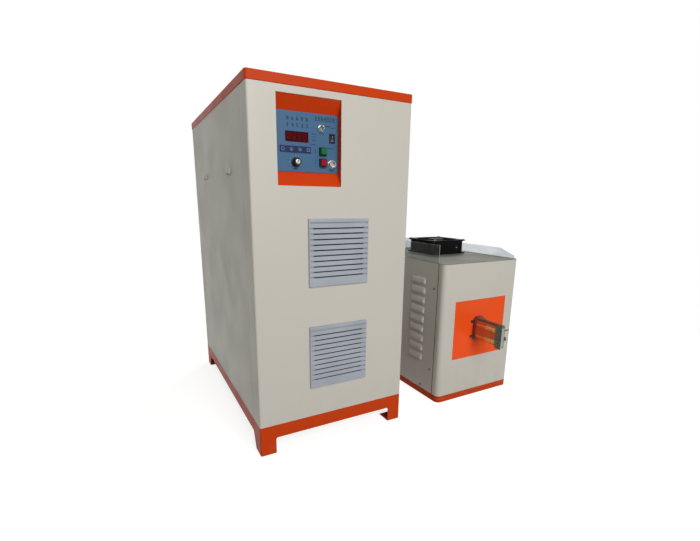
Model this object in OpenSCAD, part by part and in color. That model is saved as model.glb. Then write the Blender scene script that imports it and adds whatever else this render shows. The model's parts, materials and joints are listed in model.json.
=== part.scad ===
// Induction heating machine in two free-standing units on one floor: a power
// cabinet with its control panel, and a transformer head with the output terminals.
// X runs along both fronts, Y runs to the back, Z runs up from the floor.
// The origin is the middle of the whole footprint, on the floor.

/* [Cabinet] */
// Width of the cabinet
cab_w = 426; // [415:1:450]
// Depth of the cabinet
cab_d = 720; // [700:1:780]
// Height of the cabinet, floor to top
cab_h = 900; // [890:1:960]
// Thickness of every sheet-steel panel
sheet = 1.5; // [1.2:0.1:2]
// Radius of the cabinet's upright corners
corner_r = 5; // [4:0.5:8]
// How far the front shell wraps round each side
wrap_d = 57; // [50:1:64]
// How far the rear panel wraps round each side
rear_wrap = 20; // [16:1:24]
// Height of the cap on top
cap_h = 21; // [16:1:30]
// How far the cap stands out past the panels
cap_over = 1.5; // [0.5:0.5:3]

/* [Plinth] */
// Height of the plinth
plinth_h = 79; // [70:1:90]
// Height of the notches between the feet
notch_h = 43; // [30:1:50]
// Width of a foot along the front
foot_w = 41.5; // [36:0.5:50]
// Length of a foot along the side, at the floor
foot_low = 43; // [38:1:48]
// Length of a foot along the side, at the top of the notch
foot_deep = 62; // [55:1:70]
// Thickness of the plinth's plate
plinth_wall = 2; // [1.5:0.5:3]

/* [Control recess] */
// Width of the recess
rec_w = 159.5; // [156:0.5:166]
// Height of the recess
rec_h = 194; // [190:1:205]
// From the cabinet's left side to the recess
rec_x = 64.5; // [55:0.5:75]
// From the top of the cabinet down to the recess
rec_down = 37; // [34:1:45]
// Depth of the recess
rec_deep = 20; // [18:0.5:24]
// Height of the sloping band over the control panel
rec_top = 31; // [26:1:34]
// Height of the sloping band under the control panel
rec_low = 32; // [28:1:35]
// Thickness of the control panel
panel_t = 2; // [1.5:0.5:3]

/* [Controls] */
// Width of the display window
disp_w = 56.5; // [50:0.5:60]
// Height of the display window
disp_h = 22.5; // [20:0.5:24]
// Radius of the knob's skirt
knob_r = 10.5; // [9:0.5:12]
// Height of the knob
knob_h = 15; // [13:0.5:16]
// Width of a square push-button housing
button_w = 18; // [16.5:0.5:20]
// Travel of a push button
button_travel = 3; // [2:0.5:3.5]
// Width of the rocker switch
rocker_w = 15; // [14:0.5:16]
// Height of the rocker switch
rocker_h = 21; // [20:0.5:23]
// Radius of the foot-switch socket's barrel
socket_r = 8; // [7:0.25:8.5]
// Length of the key strip
strip_w = 76; // [74:1:80]
// Radius of a round key
key_r = 5.2; // [4.5:0.1:5.6]

/* [Air grilles] */
// Width of a grille cover
grille_w = 164.5; // [160:0.5:175]
// Height of a grille cover
grille_h = 165; // [160:0.5:175]
// From the cabinet's left side to the grilles
grille_x = 136.5; // [125:0.5:145]
// Share of the front between plinth and recess, less the grilles, that lies under the lower grille
grille_low_share = 0.315; // [0.27:0.005:0.37]
// Share of that height that lies between the two grilles
grille_mid_share = 0.398; // [0.35:0.002:0.43]
// How far a cover stands out of the front
cover_proud = 6; // [5.5:0.5:9]
// Width of a square cabinet fan
fan_w = 120; // [110:1:124]
// Depth of a cabinet fan
fan_d = 38; // [32:1:42]

/* [Head] */
// Clear floor between the cabinet and the head
unit_gap = 161; // [100:1:250]
// How far the head's front stands behind the cabinet's front
head_back = 16; // [0:1:60]
// Width of the head
head_w = 320; // [312:1:350]
// Depth of the head
head_d = 450; // [440:1:500]
// Height of the head without its fan
head_h = 454; // [440:1:500]
// Height of the head's base
head_base_h = 21.5; // [18:0.5:30]
// Radius of the head's upright corners
head_r = 17; // [14:0.5:22]
// Where the head's front shell ends on each side
head_wrap = 28; // [25:0.5:34]
// Number of louvres on each side
louvre_n = 9; // [7:1:9]
// From one louvre to the next, as a share of the head shell's height
louvre_pitch_share = 0.0754; // [0.07:0.0002:0.08]
// Length of a louvre
louvre_w = 70; // [60:1:80]
// Width of the head's fan
top_fan_w = 150; // [140:1:154]
// Height of the head's fan
top_fan_h = 50; // [46:1:56]
// Height of the clear guard at the left
guard_high = 55; // [48:1:62]
// Height of the clear guard at the right
guard_low = 30; // [24:1:36]

/* [Output terminals] */
// Width of the output recess
out_w = 221; // [210:1:230]
// Height of the output recess
out_h = 193; // [185:1:200]
// From the head's left side to the output recess
out_x = 52; // [45:1:58]
// Height of the output recess above the floor
out_z = 139.5; // [130:0.5:150]
// Depth of the output recess
out_deep = 12; // [8:0.5:18]
// Height of a copper terminal
bar_h = 62; // [58:1:68]
// Thickness of a copper terminal
bar_t = 4; // [3.8:0.1:5]
// Thickness of the insulation between the terminals
ins_t = 1.6; // [1.2:0.1:2]
// How far the terminals stand out of the head's front
bar_out = 104; // [95:1:112]
// Depth of a clamp plate
plate_d = 24; // [22:0.5:26]
// Radius of a coil bolt's hole
coil_hole_r = 4.2; // [3:0.1:4.5]

/* [Rear fittings] */
// Radius of a hose tail
tail_r = 6; // [5:0.5:7]
// Length of a hose tail
tail_l = 40; // [34:1:46]
// Radius of the way through a cable gland
gland_r = 11; // [9:0.5:12]

/* [Hidden] */
$fn = 48;

// Colours
cream = "#cbc6bd";
orange = "#d4481c";
deep_orange = "#e0481c";
panel_blue = "#4a7190";
black = "#1c1c1e";
zinc = "#b4b8ba";
brass = "#b8963e";
copper = "#b5653a";

// Every cut runs past the faces that it opens by this much
over = 1;
// Side clearance between pieces that don't touch
fit = 0.3;
// Groove between two neighbouring panels
seam = 1;
// Running clearance of a shaft in its bearing
run_fit = 0.05;

// Levels of the cabinet
cap_z = cab_h - cap_h;
panels_h = cap_z - plinth_h;
cap_lip = 15;
pad_t = 3;
notch_r = 5;
side_y = wrap_d + seam;
side_l = cab_d - rear_wrap - seam - side_y;

// Pressed lift tabs on the cabinet's sides
tab_w = 32;
tab_h = 20;
tab_proud = 8;
tab_lip = 4;
tab_slot = 5;
tab_down = 200;
tab_z = cab_h - tab_down;
tab_front_y = 172;
tab_pitch = 312;
tab_ys = [tab_front_y, tab_front_y + tab_pitch];

// Inner frame of folded angle
angle_t = 2;
post_w = 25;
post_d = 30;
post_y = wrap_d - post_d / 2;
rear_post_y = cab_d - sheet - post_d;
rail_h = 25;
rail_z = cap_z - rail_h;
plate_y = 330;
plate_window_w = 200;
plate_window_h = 70;
plate_window_z = rail_z - plate_window_h - rail_h;

// Control recess
rec_z = cab_h - rec_down - rec_h;
rec_wall = 2;
rec_lip = 12;
panel_z = rec_z + rec_low;
panel_h = rec_h - rec_low - rec_top;
panel_y = rec_deep - panel_t;
back_y = rec_deep + rec_wall;
panel_back_t = panel_t + rec_wall;

// Places on the control panel, as shares of its width and its height
disp_share = [0.342, 0.588];
toggle_share = [0.715, 0.763];
rocker_share = [0.9, 0.603];
strip_share = [0.317, 0.378];
knob_share = [0.317, 0.165];
start_share = [0.746, 0.37];
stop_share = [0.746, 0.178];
socket_share = [0.89, 0.157];
function spot(share) = [rec_x + rec_w * share[0], panel_z + panel_h * share[1]];
disp_at = spot(disp_share);
toggle_at = spot(toggle_share);
rocker_at = spot(rocker_share);
strip_at = spot(strip_share);
knob_at = spot(knob_share);
start_at = spot(start_share);
stop_at = spot(stop_share);
socket_at = spot(socket_share);

// Display window
disp_proud = 0.5;

// Key strip and keys
strip_h = 14.4;
strip_t = 1.2;
key_proud = 0.4;
key_lift = 0.5;
key_pitch_share = 0.275;
key_pitch = strip_w * key_pitch_share;
key_n = 4;
function key_x(i) = strip_at[0] + (i - (key_n - 1) / 2) * key_pitch;

// Knob and potentiometer
shaft_r = 3;
bushing_r = 4;
bushing_out = 5;
pot_r = 12;
pot_d = 10;
pot_nut_r = 7;
pot_nut_t = 2;
knob_gap = 0.6;
knob_skirt_h = 4;
knob_body_r = 8.8;
knob_hollow_r = 7.8;
knob_hollow_h = 5;
knob_flute_n = 18;
knob_flute_r = 0.8;
knob_flute_end = 1;
pointer_w = 1.6;
pointer_t = 0.6;
pointer_l = 6;

// Toggle switch
toggle_box = [13, 20, 14];
toggle_bush_r = 5.8;
toggle_bore_r = 4.6;
toggle_bush_out = 8;
toggle_nut_r = 8;
toggle_nut_t = 2.5;
toggle_pivot_out = 4;
toggle_pivot_y = panel_y - toggle_pivot_out;
toggle_pin_r = 1;
toggle_ball_r = 4.3;
toggle_lever_r = 2;
toggle_tip_r = 3;
toggle_lever_l = 10.5;
toggle_tail_l = 5;
toggle_tilt = 12;

// Rocker switch
rocker_rim = 1.7;
rocker_proud = 1.8;
rocker_neck = 1;
rocker_body_d = 18;
rocker_cavity_d = 11;
paddle_r = (rocker_h - 2 * rocker_rim) / 2 - fit;
paddle_w = rocker_w - 2 * rocker_rim - 2 * fit;
paddle_sink = 1;
rocker_pin_r = 0.9;
paddle_tilt = 9;
paddle_shares = [[-0.26, 0], [-0.4, 0.9], [0, 0.98], [0.4, 0.6], [0.4, -0.6], [0, -0.98], [-0.4, -0.9]];

// Push buttons
button_out = 6;
button_rim = 1.4;
button_floor = 1.2;
button_neck_r = 7.9;
button_neck_l = 26;
button_cap_w = button_w - 2 * (button_rim + fit);
button_cap_out = 4;
button_plunger_r = 5;
button_plunger_l = 12;
button_cap_in = button_out - button_travel - button_floor - fit;
button_bore_l = 22;

// Foot-switch socket
socket_flange_side = 1.5;
socket_flange_r = socket_r + socket_flange_side;
socket_flange_t = 1.5;
socket_out = 10;
socket_wall = 1.4;
socket_hollow = 7;
socket_pin_r = 0.8;
socket_pin_l = 5;
socket_pin_n = 3;
socket_pin_share = 0.5;
socket_thread_l = 12;
socket_nut_r = 11;
socket_nut_t = 3;

// Air grilles
front_free = rec_z - plinth_h - 2 * grille_h;
grille_low = plinth_h + front_free * grille_low_share;
grille_high = grille_low + grille_h + front_free * grille_mid_share;
grille_zs = [grille_low, grille_high];
cover_t = 2;
flange_t = 3;
cut_share = 0.875;
cut_w = grille_w * cut_share;
cut_h = grille_h * cut_share;
tray_wall = 2;
tray_d = 10;
grid_t = 2;
grid_bar = 3;
grid_n = 5;
mat_t = 8;
slot_n = 11;
slot_h = 3.4;
slot_rise = 1.6;
slot_side = 3;
slot_low_share = 0.135;
slot_pitch_share = 0.08;
hub_at_x = grille_x + grille_w / 2;

// Fans; the axis of each is +Z before it is turned into place
fan_corner = 6;
fan_flange_t = 4;
fan_inset = 1.2;
fan_wall = 3;
fan_tip_gap = 2;
fan_strut_w = 5;
fan_strut_t = 4;
fan_strut_n = 4;
fan_blade_n = 7;
fan_blade_t = 2;
fan_blade_tilt = 35;
fan_hub_share = 0.36;
fan_body_corner_share = 0.16;
fan_shaft_l = 6;
fan_hole_r = 2.2;
fan_hole_in = 7.5;
blade_drop_share = 0.78;

// Power electronics
cold_side = 36;
cold_drop = 89;
cold_w = 150;
cold_h = 270;
cold_t = 20;
cold_x = cab_w - cold_side - cold_w;
cold_z = plate_window_z - cold_drop - cold_h;
pipe_r = 6;
pipe_shares = [0.25, 0.75];
manifold_z = 165;
manifold_h = 30;
manifold_d = 30;
manifold_x = cold_x;
manifold_w = cold_w;
tail_n = 4;
tail_neck = 1;
tail_hex_share = 0.11;
tail_land_share = 0.35;
barb_n = 3;
module_w = 62;
module_h = 108;
module_t = 30;
module_gap = 8;
bus_t = 3;
bus_w = 18;
stud_r = 4;
can_r = 38;
can_h = 150;
can_n = 4;
can_y = 230;
can_gap = 10;
can_stud_h = 8;
choke_x = 40;
choke_y = 400;
choke_w = 150;
choke_d = 70;
choke_h = 130;
choke_leg = 30;
choke_bulge = 20;
board_w = 220;
board_h = 160;
board_t = 1.6;
board_drop = 79;
board_z = plate_window_z - board_drop - board_h;
board_off = 18;
board_post_r = 4;
board_post_in = 10;
chip_w = 46;
chip_d = 24;
chip_h = 34;

// Rear of the cabinet
vent_n = 10;
vent_columns = 3;
vent_column_pitch = 78;
vent_web = 14;
vent_h = 6;
vent_pitch = 12;
vent_down = 199;
vent_z = cap_z - vent_down;
breaker_x = 66;
breaker_w = 90;
breaker_h = 150;
breaker_drop = 10;
breaker_z = vent_z - breaker_drop - breaker_h;
breaker_d = 70;
breaker_face_w = 60;
breaker_face_h = 70;
breaker_face_out = 6;
lever_w = 14;
lever_r = 14;
lever_l = 26;
lever_t = 7;
lever_swing = 20;
lever_sink = 8;
gland_z = 150;
gland_xs = [75, 145];
gland_body_r = 16;
gland_nut_r = 21;
gland_nut_t = 8;
gland_dome_l = 20;
gland_thread_l = 12;
gland_lock_t = 6;
earth_x = 110;
earth_z = 105;
earth_r = 4;
earth_core_r = 3.4;
earth_out = 22;
earth_in = 14;
earth_nut_r = 7.5;
earth_nut_t = 6;

// Screws
screw_r = 2;
screw_head_r = 4.2;
screw_head_h = 2.2;
screw_l = 6;
screw_hole_r = 2.2;
screw_slot_w = 1;
screw_slot_d = 0.8;
screw_in = 13;
screw_share = 0.045;
screw_span_share = 0.303;
screw_n = 4;
rear_screw_zs = [for (i = [0 : screw_n - 1]) plinth_h + panels_h * (screw_share + i * screw_span_share)];

// Head
louvre_h = 19;
louvre_proud = 5;
louvre_lip = 5;
louvre_t = 1.2;
louvre_y = 88;
louvre_low_share = 0.2285;
shell_z = head_base_h;
shell_h = head_h - sheet - head_base_h;
louvre_z = shell_z + shell_h * louvre_low_share;
louvre_pitch = shell_h * louvre_pitch_share;
body_y = head_wrap + seam;
base_lip = 22;
fan_mid_shares = [0.591, 0.596];
fan_x = head_w * fan_mid_shares[0] - top_fan_w / 2;
fan_y = head_d * fan_mid_shares[1] - top_fan_w / 2;
guard_t = 1.5;
guard_in = 2;
guard_left_y = 33;
guard_right_y = 17;
guard_fall = 60;
guard_end_h = 9;
head_post_y = 20;
head_post_d = 40;
head_rail_h = 24;
head_screw_y = 44;
head_screw_shares = [0.187, 0.813];
head_screw_zs = [for (share = head_screw_shares) shell_z + shell_h * share];
base_screw_y = 87;
base_screw_z = 33;

// Output terminals
out_flat_w = 104;
out_flat_h = 116;
out_wall = 2;
out_lip = 14;
term_right = 4;
term_drop = 5;
term_x = out_x + out_w / 2 + term_right;
term_z = out_z + out_h / 2 - term_drop;
pair_left = 11.7;
pair_x = term_x - pair_left;
pair_w = 2 * bar_t + ins_t;
board_slab_t = 8;
board_end = 9.5;
board_slab_w = 42;
board_slab_h = bar_h + 2 * board_end;
board_cut = 9;
core_front = 74;
core_d = 70;
bar_in = core_front + core_d;
bar_x = pair_x - pair_w / 2;
bar_z = term_z - bar_h / 2;
pair_gap = 0.2;
tube_r = 4.5;
tube_off = 4;
tube_dz = 18.5;
union_r = 6.5;
union_l = 34;
ridge_h = 8;
plate_t = 2;
clamp_front = -bar_out;
stack_x = bar_x - plate_t;
stack_w = pair_w + 2 * plate_t;
left_plate_end = 6.5;
right_plate_end = 3;
left_plate_h = bar_h + 2 * left_plate_end;
right_plate_h = bar_h + 2 * right_plate_end;
coil_drop = 7;
bolt_back = 7;
pin_back = 3.5;
pin_rise = 22;
coil_y = clamp_front + plate_d / 2;
bolt_y = clamp_front + bolt_back;
pin_y = clamp_front + pin_back;
coil_z = term_z - coil_drop;
coil_pitch_z = 30;
clamp_r = 4;
clamp_nut_r = 6.5;
clamp_nut_t = 11;
clamp_tip = 2;
pin_r = 2;
pin_z = term_z + pin_rise;
pin_out = 20;
flange_bolt_r = 5;
flange_bolt_h = 5;
flange_bolt_side = 6;
flange_bolt_x = board_slab_w / 2 + flange_bolt_side;
flange_bolt_z = 26;
front_reach = bar_out;

// Transformer and resonant capacitors
core_w = 180;
core_h = 190;
core_leg = 36;
core_y = core_front;
core_z = term_z - core_h / 2;
wind_t = 14;
wind_gap = 2;
foot_t = 3;
foot_lip = 14;
cap_box = [60, 110, 150];
cap_box_n = 3;
cap_box_gap = 12;
cap_box_back = 8.5;
cap_stud_r = 5;
cap_stud_h = 14;
head_tail_z = 120;
head_block = [120, 30, 30];
cap_box_y = head_d - sheet - head_block[1] - cap_box_back - cap_box[1];
head_tail_n = 3;
head_gland_z = 200;

// Overall frame
rear_reach = tail_l;
total_w = tab_proud + cab_w + unit_gap + head_w + louvre_proud;
front_y = max(front_reach - head_back, cover_proud);
total_d = front_y + cab_d + rear_reach;
cab_x = tab_proud - total_w / 2;
cab_y = front_y - total_d / 2;
head_x = cab_x + cab_w + unit_gap;
head_y = cab_y + head_back;

// Places a child in the cabinet's own frame: front left corner on the floor
module at_cabinet() {
    translate([cab_x, cab_y, 0]) children();
}

// Places a child in the head's own frame: front left corner on the floor
module at_head() {
    translate([head_x, head_y, 0]) children();
}

// The child and its mirror image across a unit of the given width
module both_sides(w) {
    children();
    translate([w, 0, 0]) mirror([1, 0, 0]) children();
}

module block(x, y, z, w, d, h) {
    translate([x, y, z]) cube([w, d, h]);
}

// Round bar along +Y
module rod_y(x, y, z, r, l) {
    translate([x, y, z]) rotate([-90, 0, 0]) cylinder(r = r, h = l);
}

// Round bar along +X
module rod_x(x, y, z, r, l) {
    translate([x, y, z]) rotate([0, 90, 0]) cylinder(r = r, h = l);
}

// Hexagon along +Y
module hex_y(x, y, z, r, l) {
    translate([x, y, z]) rotate([-90, 0, 0]) cylinder(r = r, h = l, $fn = 6);
}

// Outline drawn in X and Z, run along Y
module across_y(y, l) {
    translate([0, y + l, 0]) rotate([90, 0, 0]) linear_extrude(l) children();
}

// Outline drawn in Y and Z, run along X
module across_x(x, l) {
    translate([x, 0, 0]) rotate([90, 0, 90]) linear_extrude(l) children();
}

module plate_2d(w, d, r) {
    translate([r, 0]) square([w - 2 * r, d]);
    translate([0, r]) square([w, d - 2 * r]);
    for (x = [r, w - r], y = [r, d - r]) translate([x, y]) circle(r = r);
}

module wall_2d(w, d, r, t) {
    difference() {
        plate_2d(w, d, r);
        translate([t, t]) plate_2d(w - 2 * t, d - 2 * t, r - t);
    }
}

// Part of a folded wall, between two depths
module folded_shell(w, d, r, z, h, y0, y1) {
    translate([0, 0, z]) linear_extrude(h) intersection() {
        wall_2d(w, d, r, sheet);
        translate([0, y0]) square([w, y1 - y0]);
    }
}

// Pressed hood that opens downwards, on the outside of a left-hand panel
module hood(y, z, w, h, proud, lip) {
    translate([0, 0, z]) across_y(y, w) polygon([[sheet, 0], [-proud, 0], [-proud, lip], [0, h], [sheet, h]]);
}

// The hollow under that hood, with its slot through the panel
module hood_hollow(y, z, w, h, proud, lip, t, slot) {
    translate([0, 0, z]) across_y(y + t, w - 2 * t) polygon([[sheet + over, -slot], [0, -slot],
        [0, -over], [t - proud, -over], [t - proud, lip], [0, h - 2 * t], [sheet + over, h - 2 * t]]);
}

module base_plinth() {
    color(orange) at_cabinet() difference() {
        union() {
            linear_extrude(plinth_h) wall_2d(cab_w, cab_d, corner_r, plinth_wall);
            translate([0, 0, plinth_h - plinth_wall]) linear_extrude(plinth_wall)
                plate_2d(cab_w, cab_d, corner_r);
            linear_extrude(pad_t) intersection() {
                plate_2d(cab_w, cab_d, corner_r);
                for (x = [0, cab_w - foot_w], y = [0, cab_d - foot_low])
                    translate([x, y]) square([foot_w, foot_low]);
            }
        }
        across_y(-over, cab_d + 2 * over) notch_2d();
        across_x(-over, cab_w + 2 * over) polygon([[foot_low, -over], [foot_deep, notch_h],
            [cab_d - foot_deep, notch_h], [cab_d - foot_low, -over]]);
    }
}

module notch_2d() {
    translate([foot_w, -over]) square([cab_w - 2 * foot_w, notch_h - notch_r + over]);
    translate([foot_w + notch_r, -over]) square([cab_w - 2 * (foot_w + notch_r), notch_h + over]);
    for (x = [foot_w + notch_r, cab_w - foot_w - notch_r])
        translate([x, notch_h - notch_r]) circle(r = notch_r);
}

module inner_frame() {
    color(zinc) at_cabinet() difference() {
        intersection() {
            translate([sheet, sheet, 0]) linear_extrude(cab_h)
                plate_2d(cab_w - 2 * sheet, cab_d - 2 * sheet, corner_r);
            frame_angles();
        }
        block((cab_w - plate_window_w) / 2, plate_y - over, plate_window_z,
            plate_window_w, angle_t + 2 * over, plate_window_h);
        both_sides(cab_w) for (z = rear_screw_zs)
            rod_y(screw_in, cab_d - sheet - angle_t - over, z, screw_hole_r, angle_t + 2 * over);
    }
}

// Posts, rails and mounting plate of the inner frame
module frame_angles() {
    rail_l = rear_post_y + post_d - post_y;
    both_sides(cab_w) {
        for (y = [post_y, rear_post_y]) block(sheet, y, plinth_h, angle_t, post_d, panels_h);
        block(sheet, post_y + post_d - angle_t, plinth_h, post_w, angle_t, panels_h);
        block(sheet, rear_post_y + post_d - angle_t, plinth_h, post_w, angle_t, panels_h);
        block(sheet, post_y, rail_z, angle_t, rail_l, rail_h);
        block(sheet, post_y, cap_z - angle_t, post_w, rail_l, angle_t);
    }
    for (y = [post_y, rear_post_y]) block(sheet, y + post_d - angle_t, rail_z,
        cab_w - 2 * sheet, angle_t, rail_h);
    block(sheet, plate_y, plinth_h, cab_w - 2 * sheet, angle_t, panels_h);
}

module front_shell() {
    color(cream) at_cabinet() difference() {
        folded_shell(cab_w, cab_d, corner_r, plinth_h, panels_h, 0, wrap_d);
        block(rec_x, -over, rec_z, rec_w, sheet + 2 * over, rec_h);
        for (z = grille_zs) grille_cut(z);
    }
}

module grille_cut(z) {
    block(grille_x + (grille_w - cut_w) / 2, -over, z + (grille_h - cut_h) / 2, cut_w,
        sheet + 2 * over, cut_h);
}

module side_panel() {
    difference() {
        union() {
            block(0, side_y, plinth_h, sheet, side_l, panels_h);
            for (y = tab_ys) hood(y, tab_z, tab_w, tab_h, tab_proud, tab_lip);
        }
        for (y = tab_ys) hood_hollow(y, tab_z, tab_w, tab_h, tab_proud, tab_lip, sheet, tab_slot);
    }
}

module left_side_panel() {
    color(cream) at_cabinet() side_panel();
}

module right_side_panel() {
    color(cream) at_cabinet() translate([cab_w, 0, 0]) mirror([1, 0, 0]) side_panel();
}

module rear_panel() {
    rear_y = cab_d - sheet - over;
    rear_cut = sheet + 2 * over;
    color(cream) at_cabinet() difference() {
        folded_shell(cab_w, cab_d, corner_r, plinth_h, panels_h, cab_d - rear_wrap, cab_d);
        for (i = [0 : vent_n - 1], j = [0 : vent_columns - 1])
            block(cab_w / 2 + (j - vent_columns / 2) * vent_column_pitch + vent_web / 2, rear_y,
                vent_z + i * vent_pitch, vent_column_pitch - vent_web, rear_cut, vent_h);
        block(breaker_x + (breaker_w - breaker_face_w) / 2 - fit, rear_y,
            breaker_z + (breaker_h - breaker_face_h) / 2 - fit,
            breaker_face_w + 2 * fit, rear_cut, breaker_face_h + 2 * fit);
        for (x = gland_xs) rod_y(x, rear_y, gland_z, gland_body_r + fit, rear_cut);
        for (i = [0 : tail_n - 1]) rod_y(tail_x(i), rear_y, manifold_z, tail_r + fit, rear_cut);
        rod_y(earth_x, rear_y, earth_z, earth_r + fit, rear_cut);
        both_sides(cab_w) for (z = rear_screw_zs) rod_y(screw_in, rear_y, z, screw_hole_r, rear_cut);
    }
}

function tail_x(i) = manifold_x + manifold_w * (i + 0.5) / tail_n;

module top_cap() {
    w = cab_w + 2 * cap_over;
    d = cab_d + 2 * cap_over;
    r = corner_r + cap_over;
    color(orange) at_cabinet() translate([-cap_over, -cap_over, cap_z]) difference() {
        linear_extrude(cap_h) plate_2d(w, d, r);
        translate([sheet, sheet, sheet]) linear_extrude(cap_h - 2 * sheet)
            plate_2d(w - 2 * sheet, d - 2 * sheet, r - sheet);
        translate([cap_lip, cap_lip, -over]) linear_extrude(sheet + 2 * over)
            plate_2d(w - 2 * cap_lip, d - 2 * cap_lip, r - sheet);
    }
}

// Side view of the recess, widened by a wall where that is asked for
module recess_profile(grow, ahead) {
    polygon([[sheet - ahead, rec_z - grow], [sheet, rec_z - grow],
        [rec_deep + grow, panel_z - grow], [rec_deep + grow, panel_z + panel_h + grow],
        [sheet, rec_z + rec_h + grow], [sheet - ahead, rec_z + rec_h + grow]]);
}

// Everything that passes through the control panel, cut between two depths
module panel_holes(y, l) {
    rod_y(knob_at[0], y, knob_at[1], bushing_r + fit, l);
    rod_y(toggle_at[0], y, toggle_at[1], toggle_bush_r + fit, l);
    block(rocker_at[0] - rocker_w / 2 + rocker_neck - fit, y,
        rocker_at[1] - rocker_h / 2 + rocker_neck - fit, rocker_w - 2 * (rocker_neck - fit), l,
        rocker_h - 2 * (rocker_neck - fit));
    for (at = [start_at, stop_at]) rod_y(at[0], y, at[1], button_neck_r + fit, l);
    rod_y(socket_at[0], y, socket_at[1], socket_r + fit, l);
}

module control_recess() {
    color(deep_orange) at_cabinet() difference() {
        union() {
            across_x(rec_x - rec_wall, rec_w + 2 * rec_wall) recess_profile(rec_wall, 0);
            block(rec_x - rec_lip, sheet, rec_z - rec_lip, rec_w + 2 * rec_lip, sheet,
                rec_h + 2 * rec_lip);
        }
        across_x(rec_x, rec_w) recess_profile(0, over);
        panel_holes(rec_deep - over, rec_wall + 2 * over);
    }
}

module control_panel() {
    color(panel_blue) at_cabinet() difference() {
        block(rec_x + fit, panel_y, panel_z, rec_w - 2 * fit, panel_t, panel_h);
        panel_holes(panel_y - over, panel_t + 2 * over);
        block(disp_at[0] - disp_w / 2, panel_y - over, disp_at[1] - disp_h / 2, disp_w,
            panel_t + 2 * over, disp_h);
    }
}

module display_window() {
    color("#3a0a10") at_cabinet() block(disp_at[0] - disp_w / 2 + fit, panel_y - disp_proud,
        disp_at[1] - disp_h / 2 + fit, disp_w - 2 * fit, panel_t + disp_proud, disp_h - 2 * fit);
}

module key_strip() {
    y = panel_y - strip_t;
    color("#2f3058") at_cabinet() difference() {
        block(strip_at[0] - strip_w / 2, y, strip_at[1] - strip_h / 2, strip_w, strip_t, strip_h);
        for (i = [0 : key_n - 2]) rod_y(key_x(i), y - over, strip_at[1], key_r + fit, strip_t + 2 * over);
        block(key_x(key_n - 1) - key_r - fit, y - over, strip_at[1] - key_r - fit,
            2 * (key_r + fit), strip_t + 2 * over, 2 * (key_r + fit));
    }
}

module round_key(i) {
    color("#6f7fa6") at_cabinet() rod_y(key_x(i), panel_y - strip_t - key_proud, strip_at[1], key_r,
        strip_t + key_proud - key_lift);
}

module mode_key() {
    round_key(0);
}

module up_key() {
    round_key(1);
}

module down_key() {
    round_key(2);
}

module reset_key() {
    color("#6f7fa6") at_cabinet() block(key_x(key_n - 1) - key_r, panel_y - strip_t - key_proud,
        strip_at[1] - key_r, 2 * key_r, strip_t + key_proud - key_lift, 2 * key_r);
}

module power_knob() {
    base_y = panel_y - knob_gap;
    top_y = base_y - knob_h;
    color(black) at_cabinet() {
        difference() {
            union() {
                rod_y(knob_at[0], base_y - knob_skirt_h, knob_at[1], knob_r, knob_skirt_h);
                rod_y(knob_at[0], top_y, knob_at[1], knob_body_r, knob_h);
                block(knob_at[0] - pointer_w / 2, top_y - pointer_t, knob_at[1], pointer_w,
                    pointer_t + over, pointer_l);
            }
            rod_y(knob_at[0], base_y - knob_hollow_h, knob_at[1], knob_hollow_r, knob_hollow_h + over);
            for (i = [0 : knob_flute_n - 1]) translate([knob_at[0], 0, knob_at[1]])
                rotate([0, i * 360 / knob_flute_n, 0])
                rod_y(knob_body_r, top_y - over, 0, knob_flute_r,
                    knob_h - knob_skirt_h - knob_flute_end + over);
        }
        rod_y(knob_at[0], base_y - knob_hollow_h - over, knob_at[1], shaft_r,
            back_y + pot_d - base_y + knob_hollow_h);
    }
}

module knob_potentiometer() {
    color(zinc) at_cabinet() difference() {
        union() {
            rod_y(knob_at[0], back_y, knob_at[1], pot_r, pot_d);
            rod_y(knob_at[0], panel_y - bushing_out + knob_gap, knob_at[1], bushing_r,
                bushing_out - knob_gap + panel_back_t + over);
            hex_y(knob_at[0], panel_y - pot_nut_t, knob_at[1], pot_nut_r, pot_nut_t);
        }
        rod_y(knob_at[0], panel_y - bushing_out, knob_at[1], shaft_r + run_fit,
            bushing_out + panel_back_t + pot_d + over);
    }
}

module toggle_body() {
    color("silver") at_cabinet() difference() {
        union() {
            block(toggle_at[0] - toggle_box[0] / 2, back_y, toggle_at[1] - toggle_box[2] / 2,
                toggle_box[0], toggle_box[1], toggle_box[2]);
            rod_y(toggle_at[0], panel_y - toggle_bush_out, toggle_at[1], toggle_bush_r,
                toggle_bush_out + panel_back_t + over);
            hex_y(toggle_at[0], panel_y - toggle_nut_t, toggle_at[1], toggle_nut_r, toggle_nut_t);
        }
        rod_y(toggle_at[0], panel_y - toggle_bush_out - over, toggle_at[1], toggle_bore_r,
            toggle_bush_out + panel_back_t + over);
        rod_x(toggle_at[0] - toggle_bush_r - over, toggle_pivot_y, toggle_at[1],
            toggle_pin_r + run_fit, 2 * (toggle_bush_r + over));
    }
}

module toggle_lever() {
    color("silver") at_cabinet() translate([toggle_at[0], toggle_pivot_y, toggle_at[1]])
        rotate([90 - toggle_tilt, 0, 0]) {
            sphere(r = toggle_ball_r);
            rod_x(fit - toggle_bush_r, 0, 0, toggle_pin_r, 2 * (toggle_bush_r - fit));
            translate([0, 0, -toggle_tail_l]) cylinder(r = toggle_lever_r, h = 2 * toggle_tail_l);
            cylinder(r1 = toggle_lever_r, r2 = toggle_tip_r, h = toggle_lever_l);
            translate([0, 0, toggle_lever_l]) sphere(r = toggle_tip_r);
        }
}

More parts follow.
